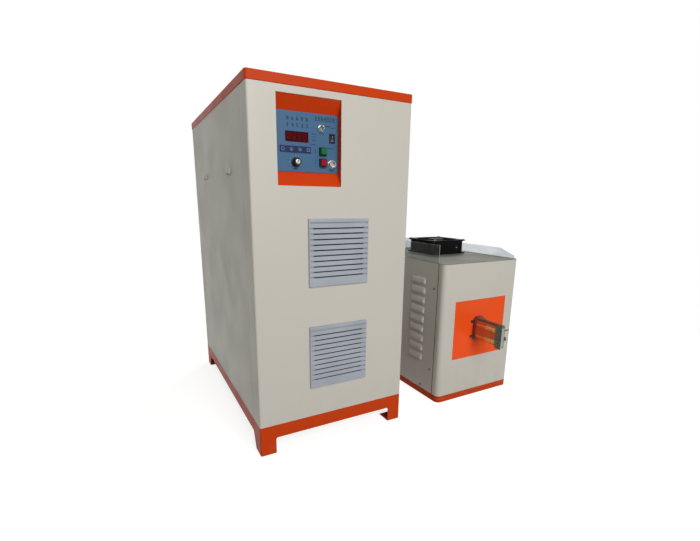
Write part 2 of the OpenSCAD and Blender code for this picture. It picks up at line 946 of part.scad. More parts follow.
module rocker_housing() {
    x = rocker_at[0] - rocker_w / 2;
    z = rocker_at[1] - rocker_h / 2;
    color(black) at_cabinet() difference() {
        union() {
            block(x, panel_y - rocker_proud, z, rocker_w, rocker_proud, rocker_h);
            block(x + rocker_neck, panel_y - over, z + rocker_neck, rocker_w - 2 * rocker_neck,
                rocker_body_d + over, rocker_h - 2 * rocker_neck);
        }
        block(x + rocker_rim, panel_y - rocker_proud - over, z + rocker_rim,
            rocker_w - 2 * rocker_rim, rocker_proud + rocker_cavity_d + over, rocker_h - 2 * rocker_rim);
        rod_x(x, panel_y + paddle_sink, rocker_at[1], rocker_pin_r + run_fit, rocker_w);
    }
}

module rocker_paddle() {
    color(black) at_cabinet() translate([rocker_at[0], panel_y + paddle_sink, rocker_at[1]])
        rotate([paddle_tilt, 0, 0]) {
            across_x(-paddle_w / 2, paddle_w) polygon(paddle_shares * paddle_r);
            rod_x(fit + rocker_neck - rocker_w / 2, 0, 0, rocker_pin_r,
                rocker_w - 2 * (rocker_neck + fit));
        }
}

module button_housing(at) {
    x = at[0] - button_w / 2;
    z = at[1] - button_w / 2;
    difference() {
        union() {
            block(x, panel_y - button_out, z, button_w, button_out, button_w);
            rod_y(at[0], panel_y - over, at[1], button_neck_r, button_neck_l + over);
        }
        block(x + button_rim, panel_y - button_out - over, z + button_rim, button_w - 2 * button_rim,
            button_out + over - button_floor, button_w - 2 * button_rim);
        rod_y(at[0], panel_y - button_out, at[1], button_plunger_r + fit, button_out + button_bore_l);
    }
}

module button_housings() {
    color(black) at_cabinet() for (at = [start_at, stop_at]) button_housing(at);
}

module push_button(at) {
    face_y = panel_y - button_out - button_cap_out;
    at_cabinet() {
        block(at[0] - button_cap_w / 2, face_y, at[1] - button_cap_w / 2, button_cap_w,
            button_cap_out + button_cap_in, button_cap_w);
        rod_y(at[0], face_y + button_cap_out, at[1], button_plunger_r, button_cap_in + button_plunger_l);
    }
}

module start_button() {
    color("#1a7a45") push_button(start_at);
}

module stop_button() {
    color("#9a1830") push_button(stop_at);
}

module foot_switch_socket() {
    x = socket_at[0];
    z = socket_at[1];
    mouth_y = panel_y - socket_out;
    color("silver") at_cabinet() {
        difference() {
            union() {
                rod_y(x, mouth_y, z, socket_r, socket_out + panel_back_t + socket_thread_l);
                rod_y(x, panel_y - socket_flange_t, z, socket_flange_r, socket_flange_t);
                hex_y(x, back_y, z, socket_nut_r, socket_nut_t);
            }
            rod_y(x, mouth_y - over, z, socket_r - socket_wall, socket_hollow + over);
        }
        for (i = [0 : socket_pin_n - 1]) translate([x, 0, z]) rotate([0, i * 360 / socket_pin_n, 0])
            rod_y(socket_r * socket_pin_share, mouth_y + socket_hollow - socket_pin_l, 0,
                socket_pin_r, socket_pin_l + over);
    }
}

module grille_frame(z) {
    x = grille_x;
    side = cover_t + fit;
    in_x = x + (grille_w - cut_w) / 2 + fit;
    in_z = z + (grille_h - cut_h) / 2 + fit;
    in_w = cut_w - 2 * fit;
    in_h = cut_h - 2 * fit;
    mat_w = in_w - 2 * tray_wall;
    mat_h = in_h - 2 * tray_wall;
    difference() {
        union() {
            block(x + side, -flange_t, z + side, grille_w - 2 * side, flange_t, grille_h - 2 * side);
            block(in_x, -over, in_z, in_w, tray_d + over, in_h);
        }
        block(in_x + tray_wall, -flange_t - over, in_z + tray_wall, mat_w,
            flange_t + over + tray_d - grid_t, mat_h);
        for (i = [0 : grid_n - 1], j = [0 : grid_n - 1])
            block(in_x + tray_wall + i * (mat_w + grid_bar) / grid_n, tray_d - grid_t - over,
                in_z + tray_wall + j * (mat_h + grid_bar) / grid_n,
                (mat_w + grid_bar) / grid_n - grid_bar, grid_t + 2 * over,
                (mat_h + grid_bar) / grid_n - grid_bar);
    }
}

module grille_frames() {
    color("#8f979e") at_cabinet() for (z = grille_zs) grille_frame(z);
}

module filter_mats() {
    side = tray_wall + 2 * fit;
    color("#3c4044") at_cabinet() for (z = grille_zs)
        block(grille_x + (grille_w - cut_w) / 2 + side, tray_d - grid_t - mat_t,
            z + (grille_h - cut_h) / 2 + side, cut_w - 2 * side, mat_t, cut_h - 2 * side);
}

module grille_cover(z) {
    color("#a8aeb8") at_cabinet() difference() {
        block(grille_x, -cover_proud, z, grille_w, cover_proud, grille_h);
        block(grille_x + cover_t, cover_t - cover_proud, z + cover_t, grille_w - 2 * cover_t,
            cover_proud - cover_t + over, grille_h - 2 * cover_t);
        for (i = [0 : slot_n - 1]) translate([0, -cover_proud,
            z + grille_h * (slot_low_share + i * slot_pitch_share) - slot_h / 2])
            across_x(grille_x + slot_side, grille_w - 2 * slot_side) polygon([[-over, 0],
                [cover_t + over, slot_rise], [cover_t + over, slot_rise + slot_h], [-over, slot_h]]);
    }
}

module upper_grille_cover() {
    grille_cover(grille_high);
}

module lower_grille_cover() {
    grille_cover(grille_low);
}

// Fan frame, outlet and struts at the top; centred on its axis
module fan_frame(w, h) {
    duct_r = w / 2 - fan_wall;
    hub_r = w / 2 * fan_hub_share;
    body_w = w - 2 * fan_inset;
    body_r = w * fan_body_corner_share;
    difference() {
        union() {
            for (z = [0, h - fan_flange_t]) translate([-w / 2, -w / 2, z])
                linear_extrude(fan_flange_t) plate_2d(w, w, fan_corner);
            translate([-body_w / 2, -body_w / 2, 0]) linear_extrude(h)
                plate_2d(body_w, body_w, body_r);
        }
        translate([0, 0, -over]) cylinder(r = duct_r, h = h + 2 * over);
        for (x = [-1, 1], y = [-1, 1])
            translate([x * (w / 2 - fan_hole_in), y * (w / 2 - fan_hole_in), -over])
            cylinder(r = fan_hole_r, h = h + 2 * over);
    }
    difference() {
        union() {
            translate([0, 0, h - fan_strut_t]) cylinder(r = hub_r, h = fan_strut_t);
            for (i = [0 : fan_strut_n - 1]) rotate([0, 0, (i + 0.5) * 360 / fan_strut_n])
                translate([0, -fan_strut_w / 2, h - fan_strut_t])
                cube([duct_r + fan_wall / 2, fan_strut_w, fan_strut_t]);
            translate([0, 0, h - fan_strut_t - fan_shaft_l])
                cylinder(r = 2 * shaft_r, h = fan_shaft_l + over);
        }
        translate([0, 0, h - fan_strut_t - fan_shaft_l - over])
            cylinder(r = shaft_r + run_fit, h = fan_shaft_l + over);
    }
}

// Rotor of that fan, on the same axis
module fan_rotor(w, h) {
    duct_r = w / 2 - fan_wall;
    hub_r = w / 2 * fan_hub_share;
    hub_top = h - fan_strut_t - fan_tip_gap;
    hub_low = fan_tip_gap + fan_flange_t;
    blade_w = (hub_top - hub_low) * blade_drop_share / cos(fan_blade_tilt);
    difference() {
        union() {
            translate([0, 0, hub_low]) cylinder(r = hub_r, h = hub_top - hub_low);
            intersection() {
                for (i = [0 : fan_blade_n - 1]) rotate([0, 0, i * 360 / fan_blade_n])
                    translate([0, 0, (hub_top + hub_low) / 2]) rotate([fan_blade_tilt, 0, 0])
                    translate([hub_r - over, -fan_blade_t / 2, -blade_w / 2])
                    cube([duct_r - hub_r, fan_blade_t, blade_w]);
                translate([0, 0, hub_low]) cylinder(r = duct_r - fan_tip_gap, h = hub_top - hub_low);
            }
        }
        translate([0, 0, hub_top - fan_shaft_l - fan_tip_gap])
            cylinder(r = 2 * shaft_r + 2 * fit, h = fan_shaft_l + 2 * fan_tip_gap);
    }
    translate([0, 0, hub_top - fan_shaft_l - fan_tip_gap - over])
        cylinder(r = shaft_r, h = fan_shaft_l + fan_tip_gap + over);
}

// Turns a fan to face along +Y, behind the grille at the given height
module behind_grille(z) {
    at_cabinet() translate([hub_at_x, tray_d, z + grille_h / 2]) rotate([-90, 0, 0]) children();
}

module fan_frames() {
    color(black) for (z = grille_zs) behind_grille(z) fan_frame(fan_w, fan_d);
}

module upper_fan_rotor() {
    color("#2a2c30") behind_grille(grille_high) fan_rotor(fan_w, fan_d);
}

module lower_fan_rotor() {
    color("#2a2c30") behind_grille(grille_low) fan_rotor(fan_w, fan_d);
}

// Tail for a push-on hose: a hexagon, a plain land for the clip, then barbs that hold the hose
module hose_tail(x, y, z, l) {
    hex_l = l * tail_hex_share;
    land_y = y + hex_l + tail_neck;
    barb_y = land_y + l * tail_land_share + tail_neck;
    barb_l = (y + l - barb_y) / barb_n;
    hex_y(x, y, z, tail_r + 2 * tail_neck, hex_l);
    rod_y(x, y, z, tail_r - tail_neck, l);
    rod_y(x, land_y, z, tail_r, l * tail_land_share);
    for (i = [0 : barb_n - 1]) translate([x, barb_y + i * barb_l, z]) rotate([-90, 0, 0])
        cylinder(r1 = tail_r, r2 = tail_r - tail_neck, h = barb_l);
}

module cooling_manifold() {
    inner_y = cab_d - sheet - manifold_d;
    cold_y = plate_y + angle_t;
    mid_y = cold_y + cold_t / 2;
    color(brass) at_cabinet() difference() {
        union() {
            block(manifold_x, inner_y, manifold_z - manifold_h / 2, manifold_w, manifold_d, manifold_h);
            for (i = [0 : tail_n - 1]) {
                rod_y(tail_x(i), cab_d - sheet - over, manifold_z, tail_r - tail_neck,
                    sheet + 2 * over);
                hose_tail(tail_x(i), cab_d, manifold_z, tail_l);
            }
            block(cold_x, cold_y, cold_z, cold_w, cold_t, cold_h);
            for (s = pipe_shares) {
                rod_y(cold_x + cold_w * s, mid_y, manifold_z, pipe_r, inner_y - mid_y + over);
                translate([cold_x + cold_w * s, mid_y, manifold_z]) sphere(r = pipe_r);
                translate([cold_x + cold_w * s, mid_y, manifold_z])
                    cylinder(r = pipe_r, h = cold_z - manifold_z + over);
            }
        }
        for (i = [0 : tail_n - 1])
            rod_y(tail_x(i), cab_d - manifold_d / 2, manifold_z, tail_r - angle_t,
                manifold_d / 2 + tail_l + over);
    }
}

module inverter_modules() {
    y = plate_y + angle_t + cold_t;
    pair_x = (cold_w - 2 * module_w - module_gap) / 2;
    pair_z = (cold_h - 2 * module_h - module_gap) / 2;
    color("#3a3d40") at_cabinet() for (i = [0, 1], j = [0, 1]) {
        x = cold_x + pair_x + i * (module_w + module_gap);
        z = cold_z + pair_z + j * (module_h + module_gap);
        block(x, y, z, module_w, module_t, module_h);
        for (k = [0 : 2]) block(x + (module_w - bus_w) / 2, y + module_t - over,
            z + module_h * (k + 0.5) / 3 - bus_w / 2, bus_w, bus_t + over, bus_w);
    }
}

module capacitor_bank() {
    pitch = 2 * can_r + can_gap;
    first_x = cab_w / 2 - (can_n - 1) * pitch / 2;
    color("#2c3440") at_cabinet() {
        for (i = [0 : can_n - 1]) translate([first_x + i * pitch, can_y, plinth_h]) {
            cylinder(r = can_r, h = can_h);
            for (x = [-can_r / 2, can_r / 2])
                translate([x, 0, can_h - over]) cylinder(r = stud_r, h = can_stud_h + 2 * over);
        }
        block(first_x - can_r, can_y - bus_w, plinth_h + can_h + can_stud_h,
            (can_n - 1) * pitch + 2 * can_r, 2 * bus_w, bus_t);
    }
}

module filter_choke() {
    color("#5a4a3a") at_cabinet() {
        block(choke_x, choke_y, plinth_h, choke_w, choke_d, choke_h);
        for (i = [0, 1]) block(choke_x + choke_leg / 2 + i * (choke_w - choke_leg) / 2,
            choke_y - choke_bulge, plinth_h + choke_leg, (choke_w - 2 * choke_leg) / 2,
            choke_d + 2 * choke_bulge, choke_h - 2 * choke_leg);
    }
}

module control_board() {
    x = (cab_w - board_w) / 2;
    y = plate_y - board_off;
    color("#1f6a3c") at_cabinet() {
        block(x, y, board_z, board_w, board_t, board_h);
        for (px = [board_post_in, board_w - board_post_in], pz = [board_post_in, board_h - board_post_in])
            rod_y(x + px, y + board_t / 2, board_z + pz, board_post_r, board_off - board_t / 2);
        for (i = [0 : 2]) block(x + chip_w / 2 + i * (board_w - chip_w) / 3, y - chip_d,
            board_z + board_h / 2, chip_w, chip_d + board_t / 2, chip_h);
    }
}

module breaker_body() {
    y = cab_d - sheet - breaker_d;
    face_x = breaker_x + (breaker_w - breaker_face_w) / 2;
    face_z = breaker_z + (breaker_h - breaker_face_h) / 2;
    hub_z = breaker_z + breaker_h / 2;
    hub_x = breaker_x + breaker_w / 2;
    color("#26282b") at_cabinet() difference() {
        union() {
            block(breaker_x, y, breaker_z, breaker_w, breaker_d, breaker_h);
            block(face_x, y, face_z, breaker_face_w, breaker_d + sheet + breaker_face_out, breaker_face_h);
        }
        rod_x(hub_x - lever_w / 2 - fit, cab_d + breaker_face_out - lever_sink, hub_z, lever_r + fit,
            lever_w + 2 * fit);
    }
}

module breaker_lever() {
    hub_z = breaker_z + breaker_h / 2;
    hub_x = breaker_x + breaker_w / 2;
    color("#d8d8d4") at_cabinet()
        translate([hub_x - lever_w / 2, cab_d + breaker_face_out - lever_sink, hub_z])
        rotate([lever_swing, 0, 0]) {
            rod_x(0, 0, 0, lever_r, lever_w);
            translate([0, 0, -lever_t / 2]) cube([lever_w, lever_l, lever_t]);
        }
}

module cable_gland(x, y, z) {
    difference() {
        union() {
            rod_y(x, y - gland_thread_l, z, gland_body_r, gland_thread_l + gland_nut_t);
            hex_y(x, y, z, gland_nut_r, gland_nut_t);
            hex_y(x, y - sheet - gland_lock_t, z, gland_nut_r, gland_lock_t);
            translate([x, y + gland_nut_t, z]) rotate([-90, 0, 0])
                cylinder(r1 = gland_body_r + sheet, r2 = gland_r + sheet, h = gland_dome_l);
        }
        rod_y(x, y - gland_thread_l - over, z, gland_r,
            gland_thread_l + gland_nut_t + gland_dome_l + 2 * over);
    }
}

module cable_glands() {
    color(black) {
        at_cabinet() for (x = gland_xs) cable_gland(x, cab_d, gland_z);
        at_head() cable_gland(head_w / 4, head_d, head_gland_z);
    }
}

module earth_stud() {
    color(brass) at_cabinet() {
        rod_y(earth_x, cab_d - sheet - earth_in, earth_z, earth_core_r,
            earth_in + sheet + earth_out);
        rod_y(earth_x, cab_d + earth_nut_t + tail_neck, earth_z, earth_r,
            earth_out - earth_nut_t - tail_neck);
        hex_y(earth_x, cab_d, earth_z, earth_nut_r, earth_nut_t);
        hex_y(earth_x, cab_d - sheet - earth_nut_t, earth_z, earth_nut_r, earth_nut_t);
    }
}

// Pan-head screw: the head stands on the origin and the shank points down
module screw() {
    difference() {
        cylinder(r1 = screw_head_r, r2 = screw_head_r - screw_head_h / 2, h = screw_head_h);
        for (a = [0, 90]) rotate([0, 0, a])
            translate([-screw_slot_w / 2, -screw_r, screw_head_h - screw_slot_d])
            cube([screw_slot_w, 2 * screw_r, screw_slot_d + over]);
    }
    translate([0, 0, -screw_l]) cylinder(r = screw_r, h = screw_l + over / 2);
}

module panel_screws() {
    color("silver") {
        at_cabinet() both_sides(cab_w) for (z = rear_screw_zs)
            translate([screw_in, cab_d, z]) rotate([-90, 0, 0]) screw();
        at_head() both_sides(head_w) {
            for (z = head_screw_zs) translate([0, head_screw_y, z]) rotate([0, -90, 0]) screw();
            translate([0, base_screw_y, base_screw_z]) rotate([0, -90, 0]) screw();
        }
        at_head() for (x = [fan_hole_in, top_fan_w - fan_hole_in])
            for (y = [fan_hole_in, top_fan_w - fan_hole_in])
                translate([fan_x + x, fan_y + y, head_h + top_fan_h]) screw();
    }
}

module head_base() {
    rear_y = head_d - head_r - head_post_d;
    rail_l = head_d - head_r - head_post_y;
    color(orange) at_head() {
        difference() {
            linear_extrude(head_base_h) plate_2d(head_w, head_d, head_r);
            translate([plinth_wall, plinth_wall, plinth_wall])
                linear_extrude(head_base_h - 2 * plinth_wall)
                plate_2d(head_w - 2 * plinth_wall, head_d - 2 * plinth_wall, head_r - plinth_wall);
            translate([base_lip, base_lip, head_base_h / 2]) linear_extrude(head_base_h)
                plate_2d(head_w - 2 * base_lip, head_d - 2 * base_lip, head_r / 2);
        }
        both_sides(head_w) difference() {
            union() {
                for (y = [head_post_y, rear_y])
                    block(sheet, y, head_base_h - over, angle_t, head_post_d, shell_h + over);
                block(sheet, head_post_y, head_base_h - over, angle_t, rail_l, head_rail_h + over);
            }
            head_screw_holes(sheet - over, angle_t + 2 * over);
        }
    }
}

// Holes for the screws in the head's left side, cut along +X
module head_screw_holes(x, l) {
    for (at = [[head_screw_y, head_screw_zs[0]], [head_screw_y, head_screw_zs[1]],
        [base_screw_y, base_screw_z]])
        rod_x(x, at[0], at[1], screw_hole_r, l);
}

module head_front_shell() {
    color(cream) at_head() difference() {
        folded_shell(head_w, head_d, head_r, shell_z, shell_h, 0, head_wrap);
        block(out_x, -over, out_z, out_w, sheet + 2 * over, out_h);
    }
}

module head_body_shell() {
    color(cream) at_head() difference() {
        union() {
            folded_shell(head_w, head_d, head_r, shell_z, shell_h, body_y, head_d);
            both_sides(head_w) for (i = [0 : louvre_n - 1])
                hood(louvre_y, louvre_z + i * louvre_pitch, louvre_w, louvre_h, louvre_proud, louvre_lip);
        }
        both_sides(head_w) {
            for (i = [0 : louvre_n - 1])
                hood_hollow(louvre_y, louvre_z + i * louvre_pitch, louvre_w, louvre_h, louvre_proud,
                    louvre_lip, louvre_t, 0);
            head_screw_holes(-over, sheet + 2 * over);
        }
        rod_y(head_w / 4, head_d - sheet - over, head_gland_z, gland_body_r + fit, sheet + 2 * over);
        for (i = [0 : head_tail_n - 1])
            rod_y(head_tail_x(i), head_d - sheet - over, head_tail_z, tail_r + fit, sheet + 2 * over);
    }
}

function head_tail_x(i) = head_w / 2 + head_block[0] * (i + 0.5) / head_tail_n;

module head_top_plate() {
    color(cream) at_head() translate([0, 0, head_h - sheet]) difference() {
        linear_extrude(sheet) plate_2d(head_w, head_d, head_r);
        translate([fan_x + top_fan_w / 2, fan_y + top_fan_w / 2, -over])
            cylinder(r = top_fan_w / 2 - 2 * fan_wall, h = sheet + 2 * over);
    }
}

module clear_guard() {
    w = head_w - 2 * guard_in;
    d = head_d - 2 * guard_in;
    top = guard_high + over;
    color("#bcd0dc", 0.4) at_head() translate([guard_in, guard_in, head_h]) difference() {
        linear_extrude(guard_high) wall_2d(w, d, head_r - guard_in, guard_t);
        block(-over, -over, -over, w / 2, guard_left_y - guard_in + over, top + over);
        block(-over, -over, -over, w + 2 * over, guard_right_y - guard_in + over, top + over);
        across_y(-over, d + 2 * over) polygon([[-over, top], [guard_t, guard_high],
            [w - guard_t, guard_low], [w + over, guard_low], [w + over, top]]);
        across_x(w / 2, w / 2 + over) polygon([[-over, guard_end_h], [guard_right_y, guard_end_h],
            [guard_right_y + guard_fall, guard_low], [guard_right_y + guard_fall, top], [-over, top]]);
    }
}

module on_head_top() {
    at_head() translate([fan_x + top_fan_w / 2, fan_y + top_fan_w / 2, head_h]) children();
}

module head_fan_frame() {
    color(black) on_head_top() fan_frame(top_fan_w, top_fan_h);
}

module head_fan_rotor() {
    color("#2a2c30") on_head_top() fan_rotor(top_fan_w, top_fan_h);
}

// Straight funnel from one upright rectangle to a smaller one further back
module funnel_y(xa, za, wa, ha, ya, xb, zb, wb, hb, yb) {
    polyhedron(points = [[xa, ya, za], [xa + wa, ya, za], [xa + wa, ya, za + ha], [xa, ya, za + ha],
        [xb, yb, zb], [xb + wb, yb, zb], [xb + wb, yb, zb + hb], [xb, yb, zb + hb]],
        faces = [[0, 3, 2, 1], [4, 5, 6, 7], [0, 1, 5, 4], [1, 2, 6, 5], [2, 3, 7, 6], [3, 0, 4, 7]]);
}

module output_recess() {
    flat_x = term_x - out_flat_w / 2;
    flat_z = term_z - out_flat_h / 2;
    g = out_wall;
    color(deep_orange) at_head() difference() {
        union() {
            block(out_x - out_lip, sheet, out_z - out_lip, out_w + 2 * out_lip, sheet,
                out_h + 2 * out_lip);
            funnel_y(out_x - g, out_z - g, out_w + 2 * g, out_h + 2 * g, sheet,
                flat_x - g, flat_z - g, out_flat_w + 2 * g, out_flat_h + 2 * g, out_deep + g);
        }
        funnel_y(out_x, out_z, out_w, out_h, sheet, flat_x, flat_z, out_flat_w, out_flat_h, out_deep);
        block(bar_x - pair_gap, out_deep - over, bar_z - pair_gap, pair_w + 2 * pair_gap,
            g + 2 * over, bar_h + 2 * pair_gap);
        for (x = [-1, 1], z = [-1, 1])
            rod_y(term_x + x * flange_bolt_x, out_deep - over, term_z + z * flange_bolt_z,
                screw_hole_r, g + 2 * over);
    }
}

module terminal_board() {
    w = board_slab_w / 2;
    h = board_slab_h / 2;
    color("#5e2420") at_head() difference() {
        translate([term_x, 0, term_z]) across_y(out_deep - board_slab_t, board_slab_t)
            polygon([[-w, board_cut - h], [board_cut - w, -h], [w - board_cut, -h], [w, board_cut - h],
                [w, h - board_cut], [w - board_cut, h], [board_cut - w, h], [-w, h - board_cut]]);
        block(bar_x - pair_gap, -over, bar_z - pair_gap, pair_w + 2 * pair_gap, out_deep + 2 * over,
            bar_h + 2 * pair_gap);
    }
}

// Copper terminal on the left, with the two cooling tubes brazed to its side
module output_terminal() {
    tube_front = clamp_front + plate_d;
    block(bar_x, -bar_out, bar_z, bar_t, bar_out + bar_in, bar_h);
    for (dz = [-tube_dz, tube_dz]) {
        rod_y(bar_x - tube_off, tube_front, term_z + dz, tube_r, -tube_front - board_slab_t);
        rod_y(bar_x - tube_off, tube_front, term_z + dz, union_r, union_l);
    }
}

// Holes across a stretch of the stack: two for the work coil, one for the bolt, one for the pin
module stack_holes(x, l) {
    for (z = [-1, 1]) rod_x(x, coil_y, coil_z + z * coil_pitch_z / 2, coil_hole_r, l);
    rod_x(x, bolt_y, coil_z, clamp_r + pair_gap, l);
    rod_x(x, pin_y, pin_z, pin_r + pair_gap, l);
}

// The left half and its mirror image about the plane between the terminals
module terminal_pair() {
    children();
    translate([2 * pair_x, 0, 0]) mirror([1, 0, 0]) children();
}

module output_terminals() {
    color(copper) at_head() difference() {
        terminal_pair() output_terminal();
        stack_holes(bar_x - over, pair_w + 2 * over);
    }
}

// Sheet between the terminals, with a ridge along their top as far back as the board
module terminal_insulator() {
    color("#5a3a34") at_head() difference() {
        union() {
            block(pair_x - ins_t / 2 + pair_gap / 2, -bar_out, bar_z, ins_t - pair_gap,
                bar_out + bar_in, bar_h);
            block(pair_x - ins_t / 2 + pair_gap / 2, -bar_out, bar_z + bar_h - over, ins_t - pair_gap,
                bar_out + out_deep - board_slab_t, ridge_h);
            block(bar_x, -bar_out, bar_z + bar_h, pair_w, bar_out + out_deep - board_slab_t, ridge_h);
        }
        stack_holes(bar_x - over, pair_w + 2 * over);
    }
}

module clamp_plate(x, h) {
    difference() {
        block(x, clamp_front, term_z - h / 2, plate_t, plate_d, h);
        stack_holes(x - over, plate_t + 2 * over);
    }
}

module left_clamp_plate() {
    color("#6f7f7a") at_head() clamp_plate(stack_x, left_plate_h);
}

module right_clamp_plate() {
    color(black) at_head() clamp_plate(stack_x + stack_w - plate_t, right_plate_h);
}

module terminal_bolts() {
    nut_x = stack_x + stack_w;
    color("#8a8c88") at_head() {
        rod_x(stack_x, bolt_y, coil_z, clamp_r, stack_w + clamp_nut_t + clamp_tip);
        rod_x(nut_x, bolt_y, coil_z, clamp_nut_r, clamp_nut_t);
        rod_x(stack_x, pin_y, pin_z, pin_r, stack_w + pin_out);
        for (sx = [-1, 1], sz = [-1, 1])
            translate([term_x + sx * flange_bolt_x, 0, term_z + sz * flange_bolt_z]) {
                hex_y(0, out_deep - flange_bolt_h, 0, flange_bolt_r, flange_bolt_h);
                rod_y(0, out_deep - over, 0, screw_r, out_wall + screw_l);
            }
    }
}

module transformer_core() {
    x = term_x - core_w / 2;
    color("#3b3a3c") at_head() {
        difference() {
            block(x, core_y, core_z, core_w, core_d, core_h);
            block(x + core_leg, core_y - over, core_z + core_leg, core_w - 2 * core_leg,
                core_d + 2 * over, core_h - 2 * core_leg);
        }
        for (side = [0, core_w - foot_t]) block(x + side, core_y, plinth_wall, foot_t, core_d,
            core_z - plinth_wall + over);
        for (side = [0, core_w - foot_lip]) block(x + side, core_y, plinth_wall, foot_lip, core_d, foot_t);
    }
}

module transformer_winding() {
    x = term_x - core_w / 2;
    w = core_leg + 2 * (wind_gap + wind_t);
    l = core_h - 2 * (core_leg + wind_gap);
    color("#b06a3c") at_head() for (leg_x = [x, x + core_w - core_leg]) difference() {
        block(leg_x - wind_gap - wind_t, core_y - wind_gap - wind_t, core_z + core_leg + wind_gap, w,
            core_d + 2 * (wind_gap + wind_t), l);
        block(leg_x - fit, core_y - fit, core_z, core_leg + 2 * fit, core_d + 2 * fit, core_h);
    }
}

module resonant_capacitors() {
    total = cap_box_n * cap_box[0] + (cap_box_n - 1) * cap_box_gap;
    color("#3c4854") at_head() for (i = [0 : cap_box_n - 1])
        translate([(head_w - total) / 2 + i * (cap_box[0] + cap_box_gap), cap_box_y, plinth_wall]) {
            cube(cap_box);
            for (y = [cap_box[1] / 4, cap_box[1] * 3 / 4])
                translate([cap_box[0] / 2, y, cap_box[2] - over])
                    cylinder(r = cap_stud_r, h = cap_stud_h + over);
        }
}

module head_water_block() {
    y = head_d - sheet - head_block[1];
    color(brass) at_head() difference() {
        union() {
            block(head_w / 2, y, head_tail_z - head_block[2] / 2, head_block[0], head_block[1],
                head_block[2]);
            for (i = [0 : head_tail_n - 1]) {
                rod_y(head_tail_x(i), head_d - sheet - over, head_tail_z, tail_r - tail_neck,
                    sheet + 2 * over);
                hose_tail(head_tail_x(i), head_d, head_tail_z, tail_l);
            }
        }
        for (i = [0 : head_tail_n - 1])
            rod_y(head_tail_x(i), head_d - head_block[1] / 2, head_tail_z, tail_r - angle_t,
                head_block[1] / 2 + tail_l + over);
    }
}

base_plinth();
inner_frame();
front_shell();
left_side_panel();
right_side_panel();
rear_panel();
top_cap();
control_recess();
control_panel();
display_window();
key_strip();
mode_key();
up_key();
down_key();
reset_key();
power_knob();
knob_potentiometer();
toggle_body();
toggle_lever();
rocker_housing();
rocker_paddle();
button_housings();
start_button();
stop_button();
foot_switch_socket();
grille_frames();
upper_grille_cover();
lower_grille_cover();
filter_mats();
fan_frames();
upper_fan_rotor();
lower_fan_rotor();
cooling_manifold();
inverter_modules();
capacitor_bank();
filter_choke();
control_board();
breaker_body();
breaker_lever();
cable_glands();
earth_stud();
panel_screws();
head_base();
head_front_shell();
head_body_shell();
head_top_plate();
clear_guard();
head_fan_frame();
head_fan_rotor();
output_recess();
terminal_board();
output_terminals();
terminal_insulator();
left_clamp_plate();
right_clamp_plate();
terminal_bolts();
transformer_core();
transformer_winding();
resonant_capacitors();
head_water_block();
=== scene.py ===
# %% [markdown]
# # An induction heating machine, dressed for its portrait
# The machine stands in two units on one floor: a tall power cabinet with its control panel, and a
# low transformer head whose copper terminals carry the work coil. Its solids were drawn first and
# come in as a fixed frame. This lesson adds what solids can't hold: finishes, soft edges, pressed
# louvres, printed marks and the small trims.

# %% The frame and the lengths to measure from
import bpy
import bmesh
import json
import math
from mathutils import Matrix, Vector

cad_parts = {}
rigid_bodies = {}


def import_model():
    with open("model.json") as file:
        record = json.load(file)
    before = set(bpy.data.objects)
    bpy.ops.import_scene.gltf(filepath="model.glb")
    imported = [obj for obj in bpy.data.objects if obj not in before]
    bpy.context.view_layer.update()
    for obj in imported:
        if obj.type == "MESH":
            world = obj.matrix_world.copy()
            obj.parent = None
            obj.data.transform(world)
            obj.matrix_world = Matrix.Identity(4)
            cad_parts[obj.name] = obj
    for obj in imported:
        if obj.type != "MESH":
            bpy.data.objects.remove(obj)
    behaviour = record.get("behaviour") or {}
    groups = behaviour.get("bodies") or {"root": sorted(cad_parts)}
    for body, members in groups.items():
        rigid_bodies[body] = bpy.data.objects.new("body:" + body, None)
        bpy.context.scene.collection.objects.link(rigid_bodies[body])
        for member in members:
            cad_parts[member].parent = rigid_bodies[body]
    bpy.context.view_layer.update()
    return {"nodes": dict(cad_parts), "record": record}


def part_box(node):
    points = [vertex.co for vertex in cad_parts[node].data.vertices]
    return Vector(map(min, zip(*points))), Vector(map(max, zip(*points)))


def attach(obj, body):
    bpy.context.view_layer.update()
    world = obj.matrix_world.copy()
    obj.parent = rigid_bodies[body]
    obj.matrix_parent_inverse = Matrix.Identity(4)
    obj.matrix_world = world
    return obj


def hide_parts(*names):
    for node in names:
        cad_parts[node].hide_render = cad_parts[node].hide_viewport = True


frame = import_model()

scene = bpy.context.scene
MM = 0.001
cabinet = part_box("base_plinth")[0]
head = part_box("head_base")[0]


def on_cabinet(x, y, z):
    """A point given in millimetres from the cabinet's front left corner on the floor."""
    return Vector(cabinet) + Vector((x, y, z)) * MM


def on_head(x, y, z):
    """The same for the head."""
    return Vector(head) + Vector((x, y, z)) * MM


print("nodes", len(frame["nodes"]), "cabinet corner", tuple(cabinet), "head corner", tuple(head))

# %% [markdown]
# ## The camera
# The photograph was taken at chest height, from the left of the cabinet, with a wide lens held
# almost level. A camera can be guessed by eye, or worked out from points whose real places are
# known. The edges of both boxes are such points, so the place, the three angles and the lens come
# from fitting them. The angles are turned into a matrix, so that nothing depends on a target.

